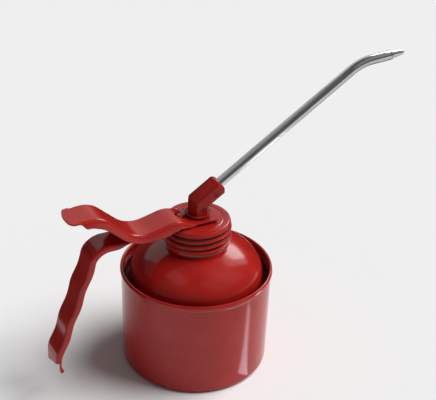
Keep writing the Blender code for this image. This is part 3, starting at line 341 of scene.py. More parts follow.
def turn(name, points, steps, closed=True):
    """Spins a profile about the Z axis into a closed piece."""
    outline = list(points)
    if closed:
        outline.append(outline[0])
    piece = draw_profile(name, outline)
    bpy.ops.mesh.select_all(action="SELECT")
    bpy.ops.mesh.spin(steps=steps, angle=math.tau, center=(0.0, 0.0, 0.0), axis=(0.0, 0.0, 1.0))
    bpy.ops.mesh.select_all(action="SELECT")
    bpy.ops.mesh.remove_doubles(threshold=WELD)
    bpy.ops.mesh.normals_make_consistent(inside=False)
    leave_edit()
    return piece


def lay(piece, matrix):
    """Puts a piece in place by its mesh, so that its object stays at the origin."""
    piece.data.transform(matrix)
    piece.data.update()
    return piece


def roll_thread(piece, mean_inner, mean_outer, low, high, low_target, high_target):
    """Moves the thread rows in and out along a helix that fades at both ends."""
    crest = NECK_TOP - THREAD_START
    for vertex in piece.data.vertices:
        x, y, z = vertex.co
        radius = math.hypot(x, y)
        if not (mean_inner - 0.0001 < radius < mean_outer + 0.0001 and low < z < high):
            continue
        turns = math.atan2(y, x) / math.tau
        wave = 2 * abs(math.cos(math.pi * ((z - crest) / THREAD_PITCH - turns))) ** 1.1 - 1
        from_low = min(1.0, (z - low) / THREAD_FADE)
        from_high = min(1.0, (high - z) / THREAD_FADE)
        level = wave * from_low * from_high
        level += low_target * (1 - from_low) + high_target * (1 - from_high)
        factor = (radius + level * THREAD_DEPTH / 2) / radius
        vertex.co = (x * factor, y * factor, z)


def rows_down(radius, top, bottom, count):
    return [(radius, top + (bottom - top) * i / count) for i in range(count + 1)]


def eased(x, keys):
    """Value at x between (x, value) keys, with a soft start and end to each stretch."""
    if x <= keys[0][0]:
        return keys[0][1]
    for (x0, v0), (x1, v1) in zip(keys, keys[1:]):
        if x <= x1:
            share = (x - x0) / (x1 - x0)
            return v0 + (v1 - v0) * (1 - math.cos(math.pi * share)) / 2
    return keys[-1][1]


def rounded_path(corners, arc_step=math.radians(2.5), line_step=0.0012):
    """Points and headings along a line through corners (x, z, radius), rounded at each corner."""
    places = [Vector((x, z)) for x, z, _ in corners]
    path = []
    start = places[0]
    for i in range(1, len(places)):
        heading = (places[i] - places[i - 1]).normalized()
        angle = math.atan2(heading.y, heading.x)
        end = places[i]
        turn_angle = 0.0
        if i < len(places) - 1:
            after = (places[i + 1] - places[i]).normalized()
            turn_angle = math.atan2(heading.x * after.y - heading.y * after.x, heading.dot(after))
            end = places[i] - heading * corners[i][2] * math.tan(abs(turn_angle) / 2)
        count = max(1, round((end - start).length / line_step))
        first = 0 if not path else 1
        for k in range(first, count + 1):
            path.append((start.lerp(end, k / count), angle))
        start = end
        if turn_angle:
            radius = corners[i][2]
            side = math.copysign(1.0, turn_angle)
            centre = end + Vector((-heading.y, heading.x)) * side * radius
            bends = max(2, round(abs(turn_angle) / arc_step))
            for k in range(1, bends + 1):
                swept = angle + turn_angle * k / bends
                normal = Vector((-math.sin(swept), math.cos(swept))) * side
                path.append((centre - normal * radius, swept))
            start = path[-1][0]
    return path


def channel_line(half_width, crease, depth, splay):
    """Web, bend and flange length of half a channel's outer line."""
    full_turn = math.pi / 2 - splay
    crease_depth = crease * (1 - math.cos(full_turn))
    if depth > crease_depth:
        bend = full_turn
        run = (depth - crease_depth) / math.sin(bend)
    else:
        bend = math.acos(1 - depth / crease)
        run = 0.0
    return half_width - crease * math.sin(bend), bend, max(run, 0.0003)


def place_on_channel(distance, web, crease, bend):
    """Point (y, drop) and lean of a channel's outer line at a distance from its middle."""
    if distance <= web:
        return distance, 0.0, 0.0
    lean = (distance - web) / crease
    if lean < bend:
        return web + crease * math.sin(lean), crease * (1 - math.cos(lean)), lean
    more = distance - web - crease * bend
    y = web + crease * math.sin(bend) + more * math.cos(bend)
    return y, crease * (1 - math.cos(bend)) + more * math.sin(bend), bend


def spread(start, end, count):
    return [start + (end - start) * i / count for i in range(1, count + 1)]


def sheet_section(half_width, crease, depth, splay, sheet, fullness):
    """Half of a pressed strip's section as (y, drop): outer face, rounded edge, inner face."""
    web, bend, run = channel_line(half_width, crease, depth, splay)
    reach = sheet * EDGE_REACH
    end = web + crease * bend + run - reach
    flange = min(max(run - reach, 0.0009), end * 0.3)
    fold = min(max(crease * bend, 0.0016), end * 0.4)
    places = [0.0]
    places += spread(0.0, end - flange - fold, 5)
    places += spread(end - flange - fold, end - flange, 8)
    places += spread(end - flange, end, 4)
    outer = []
    inner = []
    for distance in places:
        y, drop, lean = place_on_channel(distance, web, crease, bend)
        for face, depth_in in ((outer, sheet * (1 - fullness) / 2), (inner, sheet * (1 + fullness) / 2)):
            face.append((y - math.sin(lean) * depth_in, drop + math.cos(lean) * depth_in))
    y, drop, lean = place_on_channel(end, web, crease, bend)
    edge = []
    for i in range(1, EDGE_POINTS + 1):
        angle = math.pi * i / (EDGE_POINTS + 1)
        out = reach * math.sin(angle) ** 0.6
        level = math.copysign(abs(math.cos(angle)) ** 0.6, math.cos(angle))
        depth_in = sheet * (1 - fullness * level) / 2
        edge.append((y + out * math.cos(lean) - depth_in * math.sin(lean),
                     drop + out * math.sin(lean) + depth_in * math.cos(lean)))
    return outer + edge + inner[::-1]


def end_rows(sheet, corner):
    """Distances from a strip's rounded end at which it gets a row of points."""
    reach = sheet * EDGE_REACH
    near = [reach * share for share in (0.0, 0.03, 0.12, 0.3, 0.6, 1.0)]
    round_corner = [corner * (1 - math.cos(math.pi / 2 * i / 10)) for i in range(1, 11)]
    return near + [d for d in round_corner if d > reach + 0.0001]


def end_fullness(distance, sheet):
    """Share of the sheet's thickness at a distance from its rounded end."""
    if distance < 0.0000001:
        return 0.0
    left = max(0.0, 1 - distance / (sheet * EDGE_REACH))
    return (1 - left ** (1 / 0.3)) ** 0.3


def lay_strip(name, rows, section_at):
    """A grid wrapped round a strip's section, laid along a path in the XZ plane and mirrored."""
    sections = [section_at(*row) for row in rows]
    across = len(sections[0])
    bpy.ops.mesh.primitive_grid_add(x_subdivisions=len(rows) - 1, y_subdivisions=across - 1, size=0.1)
    piece = named(name)
    vertices = piece.data.vertices
    for i, (row, section) in enumerate(zip(rows, sections)):
        point, angle = row
        up = Vector((-math.sin(angle), math.cos(angle)))
        for k, (y, drop) in enumerate(section):
            place = point - up * drop
            vertices[k * len(rows) + i].co = (place.x, y, place.y)
    mirror = piece.modifiers.new("other half", "MIRROR")
    mirror.use_axis = (False, True, False)
    mirror.merge_threshold = 0.00001
    apply_modifiers(piece)
    edit(piece)
    bpy.ops.mesh.remove_doubles(threshold=STRIP_WELD)
    bpy.ops.mesh.normals_make_consistent(inside=False)
    leave_edit()
    return piece


def end_half_width(distance, half_width, corner):
    if distance >= corner:
        return half_width
    reach = corner - max(distance, 0.0)
    return half_width - corner + math.sqrt(max(corner ** 2 - reach ** 2, 0.0))


def upright(radius, low, high, x=0.0):
    """A plain upright cylinder, to cut with."""
    bpy.ops.mesh.primitive_cylinder_add(vertices=CUTTER_STEPS, radius=radius, depth=high - low,
                                        location=(x, 0.0, (low + high) / 2))
    return named("cutter")


def make_can():
    bead_centre = (RIM_RADIUS - RIM_BEAD_WIDTH / 2, RIM_HEIGHT)
    bead_axes = (RIM_BEAD_WIDTH / 2, RIM_BEAD_HEIGHT / 2)
    outer_start = math.degrees(math.acos((CAN_WALL_RADIUS - bead_centre[0]) / bead_axes[0]))
    wall_inner = CAN_WALL_RADIUS - CAN_SHEET
    inner_start = math.degrees(math.acos((wall_inner - bead_centre[0]) / bead_axes[0]))
    corner_centre = (CAN_FOOT_RADIUS - CAN_CORNER, CAN_CORNER)
    outline = [(0.0, CAN_SHEET)]
    outline += base_bead(CAN_SHEET)
    outline += arc(corner_centre, CAN_CORNER - CAN_SHEET, -90, 0, 8)
    outline += oval(bead_centre, bead_axes, 360 - inner_start, -outer_start, 36)
    outline += arc(corner_centre, CAN_CORNER, 0, -90, 10)
    outline += reversed(base_bead(0.0))
    outline.append((0.0, 0.0))
    piece = turn("can_cup", outline, CAN_STEPS, closed=False)
    smooth(piece, 50.0)
    return piece


def base_bead(level):
    inner = BASE_BEAD_RADIUS - BASE_BEAD_WIDTH / 2
    rise = BASE_BEAD_RISE
    return [(inner + BASE_BEAD_WIDTH * i / 10, level + rise * math.sin(math.pi * i / 10) ** 2)
            for i in range(11)]


def make_shoulder():
    sheet = CAN_SHEET
    gutter_floor = SHOULDER_LOW.z + sheet
    flange_top_radius = SHOULDER_HIGH.y
    taper = (CAN_WALL_RADIUS - CAN_FOOT_RADIUS) / (RIM_HEIGHT - CAN_CORNER)
    flange_top = RIM_HEIGHT - FLANGE_BELOW_RIM
    flange_foot_radius = flange_top_radius - taper * (flange_top - gutter_floor)
    waist = flange_foot_radius - sheet - 2 * GUTTER_RADIUS
    gutter_centre = (waist + GUTTER_RADIUS, gutter_floor + GUTTER_RADIUS)
    neck_foot = NECK_TOP - NECK_HEIGHT
    thread_top = NECK_TOP - NECK_EDGE
    thread_low = neck_foot + NECK_PLAIN
    rows = round((thread_top - thread_low) / THREAD_PITCH * ROWS_PER_PITCH)
    valley = NECK_MEAN_RADIUS - THREAD_DEPTH / 2
    bore = valley - sheet
    root = NECK_MEAN_RADIUS + NECK_ROOT
    start = math.degrees(math.acos(root / DOME_RADIUS))
    root_level = neck_foot - NECK_FILLET
    dome_rise = (root_level - DOME_EQUATOR) / math.sin(math.radians(start))
    fillet = [(NECK_MEAN_RADIUS + NECK_ROOT * (1 - math.cos(math.pi / 2 * i / 6)),
               neck_foot + (root_level - neck_foot) * math.sin(math.pi / 2 * i / 6))
              for i in range(6)]
    outline = [(bore - NECK_LIP, NECK_TOP), (valley - 0.0006, NECK_TOP)]
    outline += rows_down(NECK_MEAN_RADIUS, thread_top, thread_low, rows)
    outline += fillet
    outline += oval((0.0, DOME_EQUATOR), (DOME_RADIUS, dome_rise), start, 0, 44)
    outline += arc(gutter_centre, GUTTER_RADIUS, 180, 360, 18)
    outline += [(flange_top_radius - sheet, flange_top), (flange_top_radius, flange_top)]
    outline += arc(gutter_centre, GUTTER_RADIUS + sheet, 360, 180, 18)
    inner_axes = (DOME_RADIUS - sheet, dome_rise - sheet)
    outline += oval((0.0, DOME_EQUATOR), inner_axes, 0, start + 2, 30)
    outline += [(bore, neck_foot), (bore, NECK_TOP - sheet), (bore - NECK_LIP, NECK_TOP - sheet)]
    piece = turn("shoulder_and_neck", outline, CAN_STEPS)
    roll_thread(piece, NECK_MEAN_RADIUS, NECK_MEAN_RADIUS, thread_low, thread_top + 0.0001, 0.0, -1.0)
    smooth(piece, 50.0)
    return piece


def ring_bead(level):
    inner = RING_BEAD_RADIUS - RING_BEAD_WIDTH / 2
    return [(inner + RING_BEAD_WIDTH * i / 10,
             level - RING_BEAD_DEPTH * math.sin(math.pi * i / 10) ** 2) for i in range(11)]


def make_cap():
    sheet = CAP_SHEET
    underside = CAP_TOP - sheet
    thread_top = CAP_TOP - CAP_CORNER
    thread_low = CAP_LOW.z + CAP_HEM
    rows = round((thread_top - thread_low) / THREAD_PITCH * ROWS_PER_PITCH)
    corner_centre = (CAP_MEAN_RADIUS - CAP_CORNER, CAP_TOP - CAP_CORNER)
    flare = CAP_HIGH.y
    inner_mean = CAP_MEAN_RADIUS - sheet
    outline = [(CAP_HOLE, CAP_TOP)]
    outline += ring_bead(CAP_TOP)
    outline += arc(corner_centre, CAP_CORNER, 90, 8, 8)
    outline += rows_down(CAP_MEAN_RADIUS, thread_top, thread_low, rows)
    outline += arc((flare - CAP_HEM / 2, CAP_LOW.z + CAP_HEM / 2), CAP_HEM / 2, 75, -190, 14)
    outline += reversed(rows_down(inner_mean, thread_top, thread_low, rows))
    outline += arc((inner_mean - 0.0007, underside - 0.0007), 0.0007, 8, 90, 5)
    outline += reversed(ring_bead(underside))
    outline += [(CAP_HOLE, underside)]
    piece = turn("threaded_cap", outline, CAN_STEPS)
    roll_thread(piece, inner_mean, CAP_MEAN_RADIUS, thread_low - 0.0001, thread_top, 1.0, 0.0)
    cut(piece, upright(STUD_SHANK_RADIUS + GAP, CAP_TOP - 0.003, CAP_TOP + 0.003, STUD_X))
    smooth(piece, 50.0)
    return piece


def make_lever():
    path = rounded_path([(x, LEVER_LEVEL + rise, radius) for x, rise, radius in LEVER_CORNERS])
    tip, tip_angle = path[0]
    along = Vector((math.cos(tip_angle), math.sin(tip_angle)))
    end = path[-1][0]
    fork_corner = LEVER_TIP_CORNER / 2
    nose = [(tip + along * d, tip_angle) for d in end_rows(LEVER_SHEET, LEVER_TIP_CORNER)]
    fork = [(end - Vector((d, 0.0)), 0.0) for d in end_rows(LEVER_SHEET, fork_corner)]
    fork.reverse()
    first = nose[-1][0].x + ROW_SPACING
    last = fork[0][0].x - ROW_SPACING
    rest = [row for row in path if first < row[0].x < last]

    def section_at(point, angle):
        from_tip = (point - tip).dot(along)
        from_end = end.x - point.x
        half = min(
            end_half_width(from_tip, eased(point.x, LEVER_WIDTHS), LEVER_TIP_CORNER),
            end_half_width(from_end, LEVER_HALF_WIDTH, fork_corner),
        )
        fullness = end_fullness(min(from_tip, from_end), LEVER_SHEET)
        depth = eased(point.x, LEVER_FLANGE)
        return sheet_section(half, LEVER_CREASE, depth, LEVER_SPLAY, LEVER_SHEET, fullness)

    piece = lay_strip("thumb_lever", nose + rest + fork, section_at)
    for vertex in piece.data.vertices:
        from_tip = vertex.co.x - tip.x
        share = 1 - from_tip / LEVER_TIP_CORNER
        if share > 0:
            bulge = LEVER_TIP_BULGE
            if vertex.co.y > 0:
                width = eased(vertex.co.x, LEVER_WIDTHS)
                vertex.co.y *= end_half_width(from_tip, width, LEVER_FAR_CORNER) / \
                    end_half_width(from_tip, width, LEVER_TIP_CORNER)
                bulge = LEVER_FAR_SETBACK
            vertex.co.x += share * bulge * (vertex.co.y / LEVER_HALF_WIDTH) ** 2
    low = LEVER_LEVEL - 0.004
    high = LEVER_LEVEL + 0.006
    cut(piece, upright(FORK_SLOT_RADIUS, low, high))
    bpy.ops.mesh.primitive_cube_add(size=1.0, location=(0.010, 0.0, (low + high) / 2))
    slot = named("cutter")
    slot.dimensions = (0.020, FORK_SLOT_RADIUS * 2, high - low)
    bpy.context.view_layer.update()
    cut(piece, slot)
    cut(piece, upright(STUD_HOLE_RADIUS, low, high, STUD_X))
    smooth(piece, 40.0)
    return piece


def handle_rows():
    joggle_end, joggle_start = HANDLE_JOGGLE
    shoulder_z = HANDLE_LEVEL - joggle_end[1]
    run = HANDLE_KNEE_DROP - joggle_end[1]
    knee_x = HANDLE_SHOULDER_X - math.tan(HANDLE_LEAN) * run
    corners = [
        (knee_x, HANDLE_LEVEL - HANDLE_END_DROP, 0.0),
        (knee_x, HANDLE_LEVEL - HANDLE_KNEE_DROP, HANDLE_KNEE_RADIUS),
        (HANDLE_SHOULDER_X, shoulder_z, HANDLE_SHOULDER_RADIUS),
        (joggle_end[0], shoulder_z, HANDLE_JOGGLE_RADIUS),
        (joggle_start[0], HANDLE_LEVEL, HANDLE_JOGGLE_RADIUS),
        (0.0, HANDLE_LEVEL, 0.0),
    ]
    path = rounded_path(corners, line_step=0.0010)
    along = Vector((math.cos(path[0][1]), math.sin(path[0][1])))
    rows = [(path[0][0] + along * d, path[0][1]) for d in end_rows(HANDLE_SHEET, 0.0)]
    half = FULCRUM_BEAD_WIDTH / 2
    rise = fulcrum_level() - GAP - shoulder_z
    for point, angle in path[1:]:
        phase = (FINGER_TOP - (HANDLE_LEVEL - point.y)) / FINGER_PITCH + FINGER_COUNT
        if angle > math.pi / 4 and 0.0 < phase < FINGER_COUNT:
            inward = Vector((math.sin(angle), -math.cos(angle)))
            point = point + inward * FINGER_DEPTH * (1 - math.cos(math.tau * phase)) / 2
        share = (point.x - FULCRUM_X) / half
        if abs(share) < FULCRUM_BEAD_FOOT and angle < math.pi / 4:
            height = rise * eased(abs(share), ((0.0, 1.0), (FULCRUM_BEAD_FOOT, 0.0)))
            point = Vector((point.x, shoulder_z + height))
        rows.append((point, angle))
    ring_end = HANDLE_HALF_WIDTH
    ring = [ring_end * math.sin(math.pi / 2 * i / 12) for i in range(1, 10)]
    ring += [ring_end - d for d in reversed(end_rows(HANDLE_SHEET, 0.0))]
    return rows + [(Vector((x, HANDLE_LEVEL)), 0.0) for x in ring]


def fulcrum_level():
    """Height at which the lever's underside rocks on the handle's bead."""
    path = rounded_path([(x, LEVER_LEVEL + rise, radius) for x, rise, radius in LEVER_CORNERS])
    return min(point.y for point, _ in path if point.x < STUD_X) - LEVER_SHEET


def make_handle():
    rows = handle_rows()
    end_z = rows[0][0].y

    def section_at(point, angle):
        half = HANDLE_HALF_WIDTH
        if point.x > 0:
            half = max(math.sqrt(HANDLE_HALF_WIDTH ** 2 - point.x ** 2), 0.0005)
        fade = eased(point.y - end_z, ((0.0, HANDLE_END_SHARE), (HANDLE_END_REACH, 1.0)))
        depth = eased(point.x, HANDLE_FLANGE) * fade
        fullness = end_fullness(min(point.y - end_z, HANDLE_HALF_WIDTH - point.x), HANDLE_SHEET)
        return sheet_section(half, HANDLE_CREASE, depth, HANDLE_SPLAY, HANDLE_SHEET, fullness)

    piece = lay_strip("grip_handle", rows, section_at)
    for vertex in piece.data.vertices:
        height = vertex.co.z - end_z
        if vertex.co.y > 0:
            half = end_half_width(height, HANDLE_HALF_WIDTH, HANDLE_END_CORNER)
            vertex.co.y *= half / HANDLE_HALF_WIDTH
        share = eased(height, ((0.0, 1.0), (HANDLE_END_REACH, 0.0)))
        vertex.co.z -= vertex.co.y * HANDLE_END_SLANT * share
    cut(piece, make_tail(rows[0][0].x, end_z), "UNION")
    low = CAP_TOP - 0.001
    high = HANDLE_LEVEL + 0.001
    cut(piece, upright(CAP_HOLE, low, high))
    cut(piece, upright(STUD_SHANK_RADIUS + GAP, low, high, STUD_X))
    smooth(piece, 40.0)
    return piece


def make_tail(web_x, end_z):
    """The small curled tongue that the near flange's lower end is drawn out into."""
    depth = HANDLE_FLANGE[0][1] * HANDLE_END_SHARE
    web, bend, run = channel_line(HANDLE_HALF_WIDTH, HANDLE_CREASE, depth, HANDLE_SPLAY)
    outer_x = web_x + HANDLE_CREASE * (1 - math.cos(bend))
    inner_x = web_x + depth - 0.0001
    near = -HANDLE_HALF_WIDTH - run / 2 * math.cos(bend) + 0.00004
    far = near + HANDLE_SHEET - 0.00008
    start_z = end_z + HANDLE_HALF_WIDTH * HANDLE_END_SLANT
    root_z = start_z + TAIL_ROOT
    bpy.ops.mesh.primitive_cube_add(size=1.0)
    piece = named("tail")
    middle = Vector(((outer_x + inner_x) / 2, (near + far) / 2, (start_z + root_z) / 2))
    for vertex in piece.data.vertices:
        size = (inner_x - outer_x, far - near, root_z - start_z)
        vertex.co = middle + Vector([c * extent for c, extent in zip(vertex.co, size)])
    edit(piece)
    bpy.ops.mesh.select_mode(type="FACE")
    bpy.ops.mesh.select_all(action="DESELECT")
    shape = bmesh.from_edit_mesh(piece.data)
    for face in shape.faces:
        face.select = face.normal.z < -0.9
    bmesh.update_edit_mesh(piece.data)
    for drop, outer_shift, inner_shift, curl in HANDLE_TAIL:
        bpy.ops.mesh.extrude_region_move(TRANSFORM_OT_translate={"value": (0.0, 0.0, -0.0005)})
        shape = bmesh.from_edit_mesh(piece.data)
        row = [v for v in shape.verts if v.select]
        split = sum(v.co.x for v in row) / len(row)
        level = sum(v.co.y for v in row) / len(row)
        for vertex in row:
            inner = vertex.co.x > split
            vertex.co.x = inner_x + inner_shift if inner else outer_x + outer_shift
            vertex.co.y = (far if vertex.co.y > level else near) - curl * (1.0 if inner else 0.3)
            vertex.co.z = start_z - drop
        bmesh.update_edit_mesh(piece.data)
    leave_edit()
    round_edges(piece, TAIL_EDGE, 40.0)
    return piece


def make_stud():
    seat = HANDLE_LEVEL + GAP
    top = seat + STUD_RISE
    head = STUD_HEAD_RADIUS
    rounding = STUD_ROUNDING
    tail_top = CAP_TOP - CAP_SHEET - GAP
    outline = [(0.0, top)]
    outline += arc((head - rounding, top - rounding), rounding, 86, 0, 8)
    outline += [(head, seat), (STUD_SHANK_RADIUS, seat), (STUD_SHANK_RADIUS, tail_top)]
    outline += [(head * 0.9, tail_top), (head * 0.7, tail_top - 0.0006), (0.0, tail_top - 0.0006)]
    piece = turn("lever_stud", outline, 40, closed=False)
    lay(piece, Matrix.Translation((STUD_X, 0.0, 0.0)))
    smooth(piece, 40.0)
    return piece


def leaning(points, steps, centre):
    """A turned shape whose axis runs along the elbow's leg, from the mitre's centre."""
    piece = turn("cutter", points, steps)
    lean = Matrix.Rotation(math.pi / 2 - SPOUT_RISE, 4, "Y")
    return lay(piece, Matrix.Translation(centre) @ lean)


def make_elbow():
    foot_top = ELBOW_FOOT + ELBOW_FOOT_THICKNESS
    tall = ELBOW_MITRE + ELBOW_CORNER_RADIUS
    foot = foot_top - 0.0003
    bpy.ops.mesh.primitive_cylinder_add(vertices=6, radius=ELBOW_CORNER_RADIUS, depth=tall - foot,
                                        end_fill_type="NGON", location=(0.0, 0.0, 0.0))
    piece = named("cast_elbow")
    corner = piece.data.vertices[0].co
    if abs(math.remainder(math.atan2(corner.y, corner.x), math.pi / 3)) > 0.01:
        piece.data.transform(Matrix.Rotation(math.pi / 6, 4, "Z"))
    piece.data.transform(Matrix.Translation((0.0, 0.0, (tall + foot) / 2)))
    along = Vector((math.cos(SPOUT_RISE), 0.0, math.sin(SPOUT_RISE)))
    seam = (Vector((0.0, 0.0, 1.0)) + along).normalized()
    centre = Vector((0.0, 0.0, ELBOW_MITRE))
    edit(piece)
    bpy.ops.mesh.bisect(plane_co=centre, plane_no=seam, clear_outer=True)
    bpy.ops.mesh.select_all(action="DESELECT")
    bpy.ops.mesh.select_mode(type="EDGE")
    bpy.ops.mesh.select_non_manifold()
    reach = along * (ELBOW_LEG + ELBOW_CORNER_RADIUS)
    bpy.ops.mesh.extrude_region_move(TRANSFORM_OT_translate={"value": reach})
    bpy.ops.mesh.select_all(action="SELECT")
    bpy.ops.mesh.bisect(plane_co=centre + along * ELBOW_LEG, plane_no=along, use_fill=True,
                        clear_outer=True)
    bpy.ops.mesh.select_all(action="SELECT")
    bpy.ops.mesh.normals_make_consistent(inside=False)
    leave_edit()
    outer = ELBOW_CORNER_RADIUS + CUT_OVERRUN
    slope = (outer - ELBOW_END_RADIUS) / math.tan(ELBOW_CHAMFER)
    rise = CUT_OVERRUN / math.tan(ELBOW_CHAMFER)
    ring = [(ELBOW_END_RADIUS - CUT_OVERRUN, ELBOW_LEG + rise), (outer, ELBOW_LEG + rise),
            (outer, ELBOW_LEG - slope)]
    cut(piece, leaning(ring, 72, centre))
    round_edges(piece, ELBOW_EDGE, 20.0)
    for mark in ejector_marks(centre, along):
        cut(piece, mark)
    edge = ELBOW_FOOT_THICKNESS * 0.45
    radius = ELBOW_FOOT_RADIUS
    outline = [(0.0, foot_top)]
    outline += arc((radius - edge, foot_top - edge), edge, 90, 0, 6)
    outline += arc((radius - edge, ELBOW_FOOT + edge), edge, 0, -90, 6)
    outline += [(0.0, ELBOW_FOOT)]
    collar = turn("collar", outline, PUMP_STEPS, closed=False)
    cut(piece, collar, "UNION")
    cut(piece, upright(ROD_RADIUS + GAP, ELBOW_FOOT - CUT_OVERRUN, ELBOW_FOOT + ROD_SEATING + GAP))
    bore = SPOUT_RADIUS + GAP
    mouth = ELBOW_LEG + CUT_OVERRUN
    socket_floor = ELBOW_LEG - SOCKET_DEPTH
    socket = [(0.0, mouth), (bore, mouth), (bore, socket_floor), (0.0, socket_floor)]
    cut(piece, leaning(socket, CUTTER_STEPS, centre))
    smooth(piece, 22.0)
    return piece


def ejector_marks(centre, along):
    """Two shallow ring marks in the elbow's near side, one in the foot and one in the leg."""
    foot = Vector((0.0, 0.0, ELBOW_FOOT))
    leg = centre + along * LEG_MARK_REACH
    for origin, (x, height, radius) in ((foot, FOOT_MARK), (leg, LEG_MARK)):
        place = origin + Vector((x, -ELBOW_ACROSS_FLATS / 2, height))
        ring = [(radius * 0.45, MARK_OVERRUN), (radius, MARK_OVERRUN), (radius * 0.95, -MARK_DEPTH),
                (radius * 0.52, -MARK_DEPTH)]
        mark = turn("mark", ring, 40)
        lay(mark, Matrix.Translation(place) @ Matrix.Rotation(math.pi / 2, 4, "X"))
        yield mark


def spout_corners():
    along = Vector((math.cos(SPOUT_RISE), math.sin(SPOUT_RISE)))
    end = Vector((math.cos(SPOUT_END_RISE), math.sin(SPOUT_END_RISE)))
    origin = Vector((0.0, ELBOW_MITRE))
    start = origin + along * (ELBOW_LEG - SOCKET_DEPTH + GAP)
    bend = origin + along * SPOUT_TO_BEND
    mouth = bend + end * SPOUT_END_LENGTH
    return [(start.x, start.y, 0.0), (bend.x, bend.y, SPOUT_BEND_RADIUS), (mouth.x, mouth.y, 0.0)]


def make_spout():
    """The bent tube: a ring that is extruded and carried along the tube's middle line."""
    path = rounded_path(spout_corners(), arc_step=math.radians(1.5), line_step=0.004)
    bpy.ops.mesh.primitive_circle_add(vertices=48, radius=SPOUT_RADIUS)
    piece = named("bent_spout")
    start, angle = path[0]
    stand = Matrix.Translation((start.x, 0.0, start.y)) @ Matrix.Rotation(math.pi / 2 - angle, 4, "Y")
    piece.data.transform(stand)
    edit(piece)
    for (point, heading), (after, next_heading) in zip(path, path[1:]):
        step = (after.x - point.x, 0.0, after.y - point.y)
        bpy.ops.mesh.extrude_region_move(TRANSFORM_OT_translate={"value": step})
        if abs(next_heading - heading) > 0.0001:
            shape = bmesh.from_edit_mesh(piece.data)
            centre = Vector((after.x, 0.0, after.y))
            swing = Matrix.Rotation(heading - next_heading, 3, "Y")
            ring = [v for v in shape.verts if v.select]
            bmesh.ops.rotate(shape, cent=centre, matrix=swing, verts=ring)
            bmesh.update_edit_mesh(piece.data)
    bpy.ops.mesh.select_all(action="SELECT")
    bpy.ops.mesh.normals_make_consistent(inside=False)
    leave_edit()
    wall = piece.modifiers.new("wall", "SOLIDIFY")
    wall.thickness = SPOUT_WALL
    wall.offset = -1.0
    apply_modifiers(piece)
    round_edges(piece, SPOUT_EDGE, 50.0)
    smooth(piece, 40.0)
    return piece, path[-1][0]


def make_nozzle(mouth):
    shank = SPOUT_RADIUS - SPOUT_WALL - GAP
    tip = NOZZLE_LENGTH
    shoulder = SPOUT_RADIUS * 0.96
    outline = [(NOZZLE_BORE, tip)]
    outline += arc((NOZZLE_TIP_RADIUS - 0.0004, tip - 0.0004), 0.0004, 90, 0, 5)
    outline += [(NOZZLE_RADIUS * 0.88, tip - 0.0042), (NOZZLE_RADIUS * 0.96, tip - 0.0056)]
    outline += [(NOZZLE_RADIUS, 0.0026), (NOZZLE_RADIUS * 1.03, 0.0020)]
    outline += arc((shoulder - 0.0005, GAP + 0.0009), 0.0005, 60, 0, 4)
    outline += [(shoulder, GAP), (shank, GAP), (shank, -NOZZLE_SHANK), (NOZZLE_BORE, -NOZZLE_SHANK)]
    piece = turn("spout_tip", outline, 48)
    lean = Matrix.Rotation(math.pi / 2 - SPOUT_END_RISE, 4, "Y")
    lay(piece, Matrix.Translation((mouth.x, 0.0, mouth.y)) @ lean)
    smooth(piece, 40.0)
    return piece


def shader_nodes(name):
    """A new material with its node tree and Principled shader."""
    finish = bpy.data.materials.new(name)
    finish.use_nodes = True
    tree = finish.node_tree
    return finish, tree, tree.nodes["Principled BSDF"]


def new_group(name, inputs, outputs):
    """A node group with named number inputs and outputs, and its two end nodes."""
    tree = bpy.data.node_groups.new(name, "ShaderNodeTree")
    for label, default in inputs:
        socket = tree.interface.new_socket(label, in_out="INPUT", socket_type="NodeSocketFloat")
        socket.default_value = default
    for label in outputs:
        tree.interface.new_socket(label, in_out="OUTPUT", socket_type="NodeSocketFloat")
    return tree, tree.nodes.new("NodeGroupInput"), tree.nodes.new("NodeGroupOutput")


def noise_of(tree, place, scale, detail):
    noise = tree.nodes.new("ShaderNodeTexNoise")
    noise.inputs["Detail"].default_value = detail
    tree.links.new(place, noise.inputs["Vector"])
    tree.links.new(scale, noise.inputs["Scale"])
    return noise.outputs["Fac"]


def ranged(tree, source, low, high, start=0.3, end=0.7, shape="LINEAR"):
    """Spreads a value between start and end over the range low to high."""
    node = tree.nodes.new("ShaderNodeMapRange")
    node.interpolation_type = shape
    node.inputs["From Min"].default_value = start
    node.inputs["From Max"].default_value = end
    node.inputs["To Min"].default_value = low
    node.inputs["To Max"].default_value = high
    tree.links.new(source, node.inputs["Value"])
    return node.outputs["Result"]


def calculated(tree, operation, first, second):
    node = tree.nodes.new("ShaderNodeMath")
    node.operation = operation
    tree.links.new(first, node.inputs[0])
    tree.links.new(second, node.inputs[1])
    return node.outputs["Value"]


